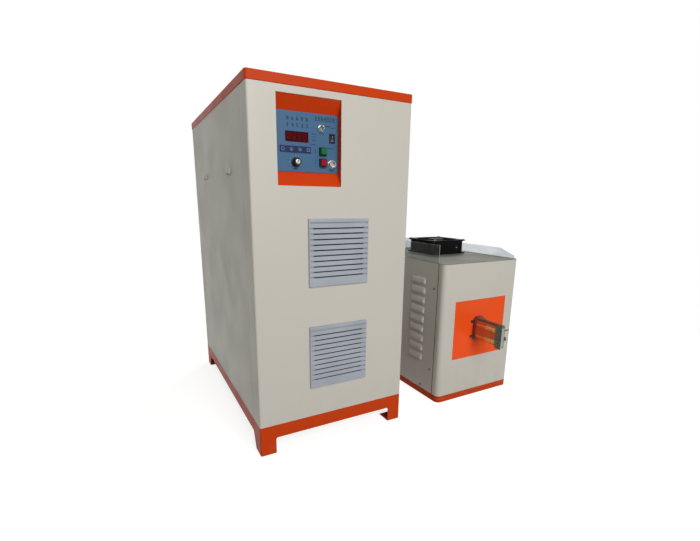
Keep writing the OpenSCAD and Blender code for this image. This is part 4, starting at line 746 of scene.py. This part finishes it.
def as_mesh(made, name):
    """Turns the evaluated result of an object into a plain mesh, and drops the object."""
    bpy.context.view_layer.update()
    done = made.evaluated_get(bpy.context.evaluated_depsgraph_get())
    mesh = bpy.data.meshes.new_from_object(done)
    bpy.data.objects.remove(made)
    mesh.name = name
    final = bpy.data.objects.new(name, mesh)
    scene.collection.objects.link(final)
    return final


print("meshes so far", len(bpy.data.meshes))

# %% Louvres on the head and lift hoods on the cabinet
LEFT = (math.radians(90), 0, math.radians(-90))
RIGHT = (math.radians(90), 0, math.radians(90))
# How many louvres, then the length, height, depth, rounded end and place of one, in millimetres.
ROWS, LOUVRE_L, LOUVRE_H, LOUVRE_OUT, LOUVRE_END, LOUVRE_FRONT = 9, 70, 19, 4.9, 9, 88
HOOD_L, HOOD_H, HOOD_OUT, HOOD_END, HOOD_FRONT, HOOD_STEP, HOOD_Z = 32, 20, 7.8, 10, 172, 312, 710
SHELL_FLOOR, FIRST_SHARE, PITCH_SHARE, PRESSED_T = 21.5, 0.2285, 0.0754, 0.9
shell_h = (shell_high - shell_low) / MM
first, pitch = SHELL_FLOOR + shell_h * FIRST_SHARE, shell_h * PITCH_SHARE


def press(name, start, turn, count, step, length, height, depth, end_round):
    """A row of pressings, in millimetres, as thick as the sheet that they stretch."""
    made = from_tree(name, louvres, louvre_ids, {
        "Length": length * MM, "Height": height * MM, "Depth": depth * MM, "End round": end_round * MM,
        "Count": count, "Step": step, "Start": tuple(start), "Turn": turn, "Finish": cream_paint})
    made = as_mesh(made, name)
    wall = made.modifiers.new("sheet", "SOLIDIFY")
    wall.thickness, wall.offset = PRESSED_T * MM, -1
    return dress(made, None, "cabinet_paint")


for side, x, turn in (("left", 0, LEFT), ("right", HEAD_W, RIGHT)):
    press("head_louvres_" + side, on_head(x, LOUVRE_FRONT + LOUVRE_L / 2, first + LOUVRE_H / 2), turn,
          ROWS, (0, 0, pitch * MM), LOUVRE_L, LOUVRE_H, LOUVRE_OUT, LOUVRE_END)
for side, x, turn in (("left", 0, LEFT), ("right", CABINET_W, RIGHT)):
    press("lift_hoods_" + side, on_cabinet(x, HOOD_FRONT + HOOD_L / 2, HOOD_Z), turn, 2,
          (0, HOOD_STEP * MM, 0), HOOD_L, HOOD_H, HOOD_OUT, HOOD_END)
pressed = sorted(o.name for o in scene.objects if "louvres" in o.name or "hoods" in o.name)
print("pressed sheets", pressed, "first louvre at", round(first, 1), "mm")

# %% [markdown]
# Air passes through a slot behind each lip. The slots are cut in one go for each sheet, with a tool
# that holds all the boxes. A dark seal fills the seam between the head's body and its front, and
# shows as a thin line down each side.

# %% Slots behind the lips, and the head's seals
def cut_slots(sheet, boxes):
    """Cuts boxes, given as two corners, out of a sheet."""
    shape = bmesh.new()
    for low, high in boxes:
        middle, size = (low + high) / 2, high - low
        bmesh.ops.create_cube(shape, size=1, matrix=Matrix.Translation(middle)
                              @ Matrix.Diagonal((*size, 1)))
    tool = shaped(shape, sheet.name + "_tool")
    cut = sheet.modifiers.new("slots", "BOOLEAN")
    cut.object, cut.solver = tool, "EXACT"
    name = sheet.name
    sheet.name = name + "_blank"
    made = as_mesh(sheet, name)
    bpy.data.objects.remove(tool)
    return made


THROUGH, SLOT_IN, SLOT_UP, SLOT_H = 3, 4, 1, 11
HOOD_IN, HOOD_BELOW, HOOD_ABOVE = 2, 9, 4
head_slots = [(on_head(x - THROUGH, LOUVRE_FRONT + SLOT_IN, z),
               on_head(x + THROUGH, LOUVRE_FRONT + LOUVRE_L - SLOT_IN, z + SLOT_H))
              for x in (0, HEAD_W) for z in (first + i * pitch + SLOT_UP for i in range(ROWS))]
dress(soften(cut_slots(head_shell, head_slots), 0.4), cream_paint, "cabinet_paint", "machine",
      "head_body_shell")
for node, x in (("left_side_panel", 0), ("right_side_panel", CABINET_W)):
    holes = [(on_cabinet(x - THROUGH, y + HOOD_IN, HOOD_Z - HOOD_BELOW),
              on_cabinet(x + THROUGH, y + HOOD_L - HOOD_IN, HOOD_Z + HOOD_ABOVE))
             for y in (HOOD_FRONT, HOOD_FRONT + HOOD_STEP)]
    dress(soften(cut_slots(sides[node], holes), 0.5), cream_paint, "cabinet_paint", "machine", node)
SEAL_OUT, SEAL_T, SEAL_FRONT, SEAL_BACK = 0.2, 0.6, 28.2, 29.6
for side, x in (("left", -SEAL_OUT), ("right", HEAD_W + SEAL_OUT - SEAL_T)):
    corners = [tuple(on_head(a, b, 0)[:2]) for a, b in
               ((x, SEAL_FRONT), (x + SEAL_T, SEAL_FRONT), (x + SEAL_T, SEAL_BACK), (x, SEAL_BACK))]
    dress(prism("head_seam_" + side, corners, shell_low, shell_high), fan_plastic, "black_plastic")
print("slots in the head", len(head_slots), "seal", SEAL_T, "mm wide")

# %% [markdown]
# ## The copper terminals and the clear guard
# Each terminal is one brazed piece in two metals: the bar is copper with a tinned front end, and
# the tubes and unions at its side are brass. They could be cut apart, but then the brazed joint
# would show a gap. So the copy of the solid keeps its shape, and each of its faces takes a metal by
# where it lies and which way it looks. The guard's sawn rims get a frosted finish in the same way,
# and the head's screws a darker one than the cabinet's.

# %% Two finishes on one piece
# Places in millimetres from the head's front left corner, then two limits for a face's normal.
PAIR_X, BARS_HALF, BARS_FRONT = 154.8, 4.9, -100
GUARD_FRONT, BESIDE_HEAD = 40, 5
FACING, TILTED = 0.8, 0.3
middle_x = on_head(PAIR_X, 0, 0).x
bars_front, guard_front = on_head(0, BARS_FRONT, 0).y, on_head(0, GUARD_FRONT, 0).y


def second_finish(made, material, test):
    """Gives the faces whose middle and normal pass a test one more material, and counts them."""
    made.data.materials.append(material)
    count = 0
    for face in made.data.polygons:
        if test(face.center, face.normal):
            face.material_index = len(made.data.materials) - 1
            count += 1
    return count


bars = dress(soften(welded("output_terminals", "output_terminals_skin"), 0.5), copper, "copper",
             "machine", "output_terminals")
tubes = second_finish(bars, brass, lambda c, n: abs(c.x - middle_x) > BARS_HALF * MM)
ends = second_finish(bars, zinc, lambda c, n: n.y < -FACING and c.y < bars_front)
guard = dress(soften(welded("clear_guard", "clear_guard_skin"), 0.25), clear_sheet, "clear_plastic",
              "machine", "clear_guard")
rims = second_finish(guard, clear_edge, lambda c, n: abs(n.z) > TILTED or (abs(n.y) > FACING
                     and c.y < guard_front))
dark = second_finish(pieces["panel_screws"], dark_steel,
                     lambda c, n: c.x > head.x - BESIDE_HEAD * MM)
print("brass faces", tubes, "tinned", ends, "rims", rims, "dark screw faces", dark)

# %% [markdown]
# ## Marks that repeat
# The panel is printed with fine marks, ticks and lines, and its window holds four unlit digits of
# seven segments. A picture could be wrapped onto the panel, but it would blur from close up. So
# each mark is a thin plate, and one tree repeats them on points: it reads each point's turn and
# size from attributes, puts the plate there, makes the copies real and gives them their finish.

# %% The repeat tree
def repeat_tree():
    """The tree that puts a piece on points, and its inputs' keys."""
    tree = bpy.data.node_groups.new("Repeat a piece on points", "GeometryNodeTree")
    new, link = tree.nodes.new, tree.links.new
    add_input(tree, "Points", "NodeSocketGeometry")
    ids = {"Piece": add_input(tree, "Piece", "NodeSocketObject"),
           "Scale": add_input(tree, "Scale", "NodeSocketFloat"),
           "Finish": add_input(tree, "Finish", "NodeSocketMaterial")}
    given = new("NodeGroupInput")
    info = new("GeometryNodeObjectInfo")
    link(given.outputs["Piece"], info.inputs["Object"])
    copies = new("GeometryNodeInstanceOnPoints")
    link(given.outputs["Points"], copies.inputs["Points"])
    link(info.outputs["Geometry"], copies.inputs["Instance"])
    fields = {}
    for field in ("turn", "size"):
        node = new("GeometryNodeInputNamedAttribute")
        node.data_type = "FLOAT_VECTOR"
        node.inputs["Name"].default_value = field
        fields[field] = node.outputs["Attribute"]
    link(fields["turn"], copies.inputs["Rotation"])
    grow = new("ShaderNodeVectorMath")
    grow.operation = "SCALE"
    link(fields["size"], grow.inputs[0])
    link(given.outputs["Scale"], grow.inputs["Scale"])
    link(grow.outputs[0], copies.inputs["Scale"])
    end_tree(tree, copies, given)
    return tree, ids


repeater, repeat_ids = repeat_tree()
print("repeat inputs", list(repeat_ids))

# %% Plates and their copies
SQUARE = [(-0.5, -0.5), (0.5, -0.5), (0.5, 0.5), (-0.5, 0.5)]
FLAT = (0, 0, 0)


def plate(name, outline, thick=1.0):
    """A flat piece in X and Z, standing out along -Y, from an outline in its own units."""
    shape = bmesh.new()
    front = [shape.verts.new((x, -thick, z)) for x, z in outline]
    back = [shape.verts.new((x, 0, z)) for x, z in outline]
    shape.faces.new(front)
    shape.faces.new(back[::-1])
    for i in range(len(outline)):
        j = (i + 1) % len(outline)
        shape.faces.new((front[j], front[i], back[i], back[j]))
    bmesh.ops.recalc_face_normals(shape, faces=shape.faces)
    return shaped(shape, name)


def repeat(name, piece, rows, material, slot, body="machine"):
    """Puts copies of a piece at rows of (place, turn, size) and drops the pattern piece."""
    made = from_tree(name, repeater, repeat_ids,
                     {"Piece": piece, "Scale": 1.0, "Finish": material}, [r[0] for r in rows])
    for field, column in (("turn", 1), ("size", 2)):
        data = made.data.attributes.new(field, "FLOAT_VECTOR", "POINT")
        data.data.foreach_set("vector", [v for r in rows for v in r[column]])
    made = as_mesh(made, name)
    bpy.data.objects.remove(piece)
    return dress(made, None, slot, body)


print("square plate", SQUARE)

# %% A pen for the panel
PANEL_Y = (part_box("control_panel")[0].y - cabinet.y) / MM
INK_T, PEN = 0.06, 0.8
BIG_X, BIG_STEP, BIG_ROWS, BIG_SIZE = 97, 11.6, (802.5, 816.5), (4.6, 8.2)
SMALL_X, SMALL_STEP, SMALL_Z, SMALL_SIZE = 167, 7.4, 822.8, (5.2, 6.4)
DASH_ROWS, DASHES, DASH_H = (787, 780.5, 774), ((158, 5), (164, 4)), 1.3
LONG_LINE = (189.2, 817.2, 52, 1.0)
# Each stroke's middle and length as shares of its block, and its turn in degrees.
STROKES = ((0, 0.42, 1, 0), (0, -0.42, 1, 0), (-0.4, 0, 1, 90), (0.4, 0, 1, 90), (0, 0, 1, 0),
           (0, 0, 0.9, 55), (0.05, 0, 1, 90))
# Each line's middle, width and height, in millimetres from the cabinet's front left corner.
LINES = ((197.5, 806, 12, 1.4), (209, 803.5, 8, 1.2), (181, 789, 12, 1.2), (157, 764, 14, 1.0),
         (115, 708.2, 14, 1.2), (204, 757.5, 18, 1.0), (183.5, 712.4, 12, 1.2),
         (206.5, 706.5, 14, 1.2), (164.5, 749.5, 1.0, 12), (164.5, 724.3, 1.0, 12))


def mark(x, z, w, h, turn=0.0, y=PANEL_Y, t=INK_T):
    """One printed block on the panel: its middle, its width and height, in millimetres."""
    return on_cabinet(x, y, z), (0, math.radians(turn), 0), (w * MM, t * MM, h * MM)


def strokes(x, z, size, seed):
    """A block of fine print: four strokes of one pen, picked by a seed."""
    w, h = size
    chosen = [STROKES[(seed * 3 + k * (2 + seed % 3)) % len(STROKES)] for k in range(4)]
    return [mark(x + dx * w, z + dz * h, (w if turn == 0 else h) * length, PEN, turn)
            for dx, dz, length, turn in chosen]


print("strokes to pick from", len(STROKES))

# %% Printed marks on the control panel
rows = []
for i in range(5):
    for j, z in enumerate(BIG_ROWS):
        rows += strokes(BIG_X + BIG_STEP * i, z, BIG_SIZE, 2 * i + j)
for i in range(7):
    rows += strokes(SMALL_X + SMALL_STEP * i, SMALL_Z, SMALL_SIZE, i + 3)
rows += [mark(*LONG_LINE)]
rows += [mark(x, z, w, DASH_H) for z in DASH_ROWS for x, w in DASHES]
rows += [mark(*line) for line in LINES]
repeat("panel_print", plate("mark", SQUARE), rows, ink, "panel_paint")
print("panel face at", round(PANEL_Y, 2), "mm,", len(rows), "marks")

# %% [markdown]
# The knob's scale has eleven ticks, 30 degrees apart, and those at the ends and the middle are
# longer. A sum over the angle gives each tick's place, so the circle is exact.

# %% Ticks round the knob
KNOB_X, KNOB_Z, TICK_STEP, TICK_W = 115.06, 722.6, 30, 0.7
TICK, LONG_TICK = (14.6, 2.4), (15.0, 3.4)
rows = []
for i in range(11):
    angle = math.radians(TICK_STEP * (i - 5))
    out, length = TICK if i % 5 else LONG_TICK
    rows.append(mark(KNOB_X + out * math.sin(angle), KNOB_Z + out * math.cos(angle), TICK_W, length,
                     math.degrees(angle)))
repeat("knob_scale", plate("tick", SQUARE), rows, pale_ink, "panel_paint")
print("ticks", len(rows))

# %% [markdown]
# The display is off, so only the unlit segments show, a little redder than the window. They lean to
# the right, as on most displays. A digit is seven copies of one segment, flat or upright.

# %% Unlit digits in the window
SEGMENT = [(-0.5, 0), (-0.42, 0.08), (0.42, 0.08), (0.5, 0), (0.42, -0.08), (-0.42, -0.08)]
DIGIT_STEP, HALF_W, HALF_H, DIGIT_LEAN = 12.6, 3.3, 6.3, 0.08
SEGMENT_L, SEGMENT_W, SEGMENT_T = 5.4, 8.5, 0.05
window_low, window_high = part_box("display_window")
window_x = ((window_low.x + window_high.x) / 2 - cabinet.x) / MM
window_z = (window_low.z + window_high.z) / 2 / MM
window_y = (window_low.y - cabinet.y) / MM
rows = []
for digit in range(4):
    x = window_x + (digit - 1.5) * DIGIT_STEP
    for across, up_by, turn in ((0, 1, 0), (0, 0, 0), (0, -1, 0), (-1, 0.5, 90), (1, 0.5, 90),
                                (-1, -0.5, 90), (1, -0.5, 90)):
        dx, dz = across * HALF_W, up_by * HALF_H
        rows.append(mark(x + dx + dz * DIGIT_LEAN, window_z + dz, SEGMENT_L, SEGMENT_W, turn,
                         window_y, SEGMENT_T))
repeat("display_digits", plate("segment", SEGMENT), rows, digit_red, "display_glass")
print("digits at", round(window_x, 2), round(window_z, 2))

# %% [markdown]
# ## Small trims on the controls
# The knob has a spun metal cap with a fine groove, the keys carry raised symbols, and the rocker a
# bar and a ring. A profile turned about an axis gives the round ones, as a lathe would, and plates
# give the straight ones. Each trim rides with the control under it: the cap turns with the knob and
# a symbol travels with its key.

# %% A lathe for round trims
def turned(name, profile, centre, steps=64):
    """A piece turned on a lathe: (radius, depth out along -Y) pairs in millimetres."""
    shape = bmesh.new()
    rings = []
    for radius, out in profile:
        if radius == 0:
            rings.append([shape.verts.new((0, -out * MM, 0))])
        else:
            rings.append([shape.verts.new((radius * MM * math.cos(2 * math.pi * i / steps), -out * MM,
                                           radius * MM * math.sin(2 * math.pi * i / steps)))
                          for i in range(steps)])
    for a, b in zip(rings, rings[1:]):
        for i in range(steps):
            j = (i + 1) % steps
            if len(a) == 1:
                shape.faces.new((a[0], b[i], b[j]))
            elif len(b) == 1:
                shape.faces.new((a[i], b[0], a[j]))
            else:
                shape.faces.new((a[i], b[i], b[j], a[j]))
    bmesh.ops.recalc_face_normals(shape, faces=shape.faces)
    bmesh.ops.translate(shape, verts=shape.verts, vec=centre)
    return shaped(shape, name)


print("lathe ready")

# %% The knob's cap
CAP_SUNK = 0.6
# From the middle outwards: the flat, the groove and the rim, then the side and the back.
CAP_PROFILE = [(0, 0.35), (3.0, 0.35), (3.2, 0.2), (3.5, 0.2), (3.7, 0.4), (5.0, 0.4), (5.3, 0.25),
               (5.3, -0.3), (0, -0.3)]
knob_face = (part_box("power_knob")[0].y - cabinet.y) / MM + CAP_SUNK
dress(turned("knob_cap", CAP_PROFILE, on_cabinet(KNOB_X, knob_face, KNOB_Z)), silver_metal,
      "silver_metal", "knob")
print("knob cap at", round(knob_face, 2), "mm")

# %% [markdown]
# The mode key has a ring, the two arrow keys a triangle in a ring, and the square reset key a
# square of four bars. They are under a tenth of a millimetre thick, like print that can be felt.

# %% Symbols on the keys
SYMBOL_T, RING_R, MODE_INNER, ARROW_INNER = 0.08, 3.9, 3.2, 3.4
FLAT_L, FLAT_OUT, UPRIGHT_L, UPRIGHT_OUT, BAR_W = 7, 3, 5.2, 3.1, 0.8
ARROW_HALF, ARROW_BASE, ARROW_TIP = 1.9 * MM, 1.2 * MM, 2.0 * MM


def ring(name, centre, outer, inner, body):
    """A printed ring on a key."""
    profile = [(inner, 0), (inner, SYMBOL_T), (outer, SYMBOL_T), (outer, 0), (inner, 0)]
    return dress(turned(name, profile, centre, 40), key_ink, "key_plastic", body)


for key in ("mode_key", "up_key", "down_key", "reset_key"):
    low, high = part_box(key)
    centre = Vector(((low.x + high.x) / 2, low.y, (low.z + high.z) / 2))
    if key == "mode_key":
        ring("mode_key_symbol", centre, RING_R, MODE_INNER, key + "_top")
    elif key == "reset_key":
        rows = [(centre + Vector((dx, 0, dz)) * MM, FLAT, Vector((w, SYMBOL_T, h)) * MM)
                for dx, dz, w, h in ((0, FLAT_OUT, FLAT_L, BAR_W), (0, -FLAT_OUT, FLAT_L, BAR_W),
                                     (-UPRIGHT_OUT, 0, BAR_W, UPRIGHT_L),
                                     (UPRIGHT_OUT, 0, BAR_W, UPRIGHT_L))]
        repeat("reset_key_symbol", plate("bar", SQUARE), rows, key_ink, "key_plastic", key + "_top")
    else:
        flip = 1 if key == "up_key" else -1
        outline = [(-ARROW_HALF, -ARROW_BASE * flip), (ARROW_HALF, -ARROW_BASE * flip),
                   (0, ARROW_TIP * flip)]
        arrow = plate(key + "_symbol", outline[::flip], SYMBOL_T * MM)
        arrow.data.transform(Matrix.Translation(centre))
        dress(arrow, key_ink, "key_plastic", key + "_top")
        ring(key + "_ring", centre, RING_R, ARROW_INNER, key + "_top")

# %% [markdown]
# The rocker's paddle has two faces that meet in a shallow valley, and it rests tilted. So its bar
# and its ring are placed in the paddle's own frame and then turned with it.

# %% Marks on the rocker
PADDLE_X, PADDLE_Y, PADDLE_Z, PADDLE_R, TILT_OFF = 208.05, 19, 779.99, 8.5, math.radians(9)
VALLEY = math.atan2(0.14, 0.9)
MARK_Y, MARK_Z, ON_SIZE = -0.33, 0.45, (1.1, 0.12, 4.4)
OFF_PROFILE = [(1.4, -0.1), (1.4, 0.12), (2.1, 0.12), (2.1, -0.1), (1.4, -0.1)]


def on_paddle(share_y, share_z):
    """A point on the rocker's face, from its outline in shares of its radius and its tilt."""
    y, z = share_y * PADDLE_R, share_z * PADDLE_R
    return on_cabinet(PADDLE_X, PADDLE_Y + y * math.cos(TILT_OFF) - z * math.sin(TILT_OFF),
                      PADDLE_Z + y * math.sin(TILT_OFF) + z * math.cos(TILT_OFF))


bar = [(on_paddle(MARK_Y, MARK_Z), (TILT_OFF + VALLEY, 0, 0), Vector(ON_SIZE) * MM)]
repeat("rocker_on_mark", plate("bar", SQUARE), bar, pale_ink, "black_plastic", "rocker")
off_mark = turned("rocker_off_mark", OFF_PROFILE, FLAT, 32)
off_mark.data.transform(Matrix.Translation(on_paddle(MARK_Y, -MARK_Z))
                        @ Matrix.Rotation(TILT_OFF - VALLEY, 4, "X"))
dress(off_mark, pale_ink, "black_plastic", "rocker")
print("rocker marks lean", round(math.degrees(TILT_OFF + VALLEY), 1), "and",
      round(math.degrees(TILT_OFF - VALLEY), 1), "degrees")

# %% [markdown]
# ## Collars on the cooling unions
# Each brass union is stepped where its nut meets the tube. There are two unions on each terminal
# and three collars on each union, so one collar is turned, and the tree of the marks puts twelve
# copies of it in place.

# %% Union collars
UNION_OUT, UNION_Z, UNION_UP, COLLAR_PLACES = 8.8, 231, 18.5, (-45, -58, -72)
COLLAR_PROFILE = [(4.9, 0), (6.9, 0.2), (7.1, 0.6), (7.1, 3.4), (6.9, 3.8), (4.9, 4.0), (4.9, 0)]
collar = turned("collar", COLLAR_PROFILE, FLAT, 48)
rows = [(on_head(PAIR_X + side * UNION_OUT, y, UNION_Z + dz), FLAT, (1, 1, 1))
        for side in (-1, 1) for dz in (-UNION_UP, UNION_UP) for y in COLLAR_PLACES]
repeat("union_collars", collar, rows, brass, "brass")
print("collars", len(rows))

# %% [markdown]
# ## The fan's terminal
# The fan on the head has a small copper-coloured cap over its wire ends, on the front of its frame.
# It is a flat disc with a rounded rim, so it is turned like the knob's cap.

# %% Fan terminal
FROM_RIGHT, FRONT_SUNK, BELOW_MIDDLE = 42, 1.2, 2
DISC_PROFILE = [(0, 0.9), (2.7, 0.9), (3.3, 0.4), (3.3, -1.3), (0, -1.3)]
fan_low, fan_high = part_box("head_fan_frame")
place = Vector((fan_high.x, fan_low.y, (fan_low.z + fan_high.z) / 2))
place += Vector((-FROM_RIGHT, FRONT_SUNK, -BELOW_MIDDLE)) * MM
dress(turned("head_fan_terminal", DISC_PROFILE, place), wire_cap, "copper")
print("fan terminal at", [round(v, 3) for v in place])

# %% [markdown]
# ## Closing
# The view layer is brought up to date once more at the end.

# %% The last update
bpy.context.view_layer.update()
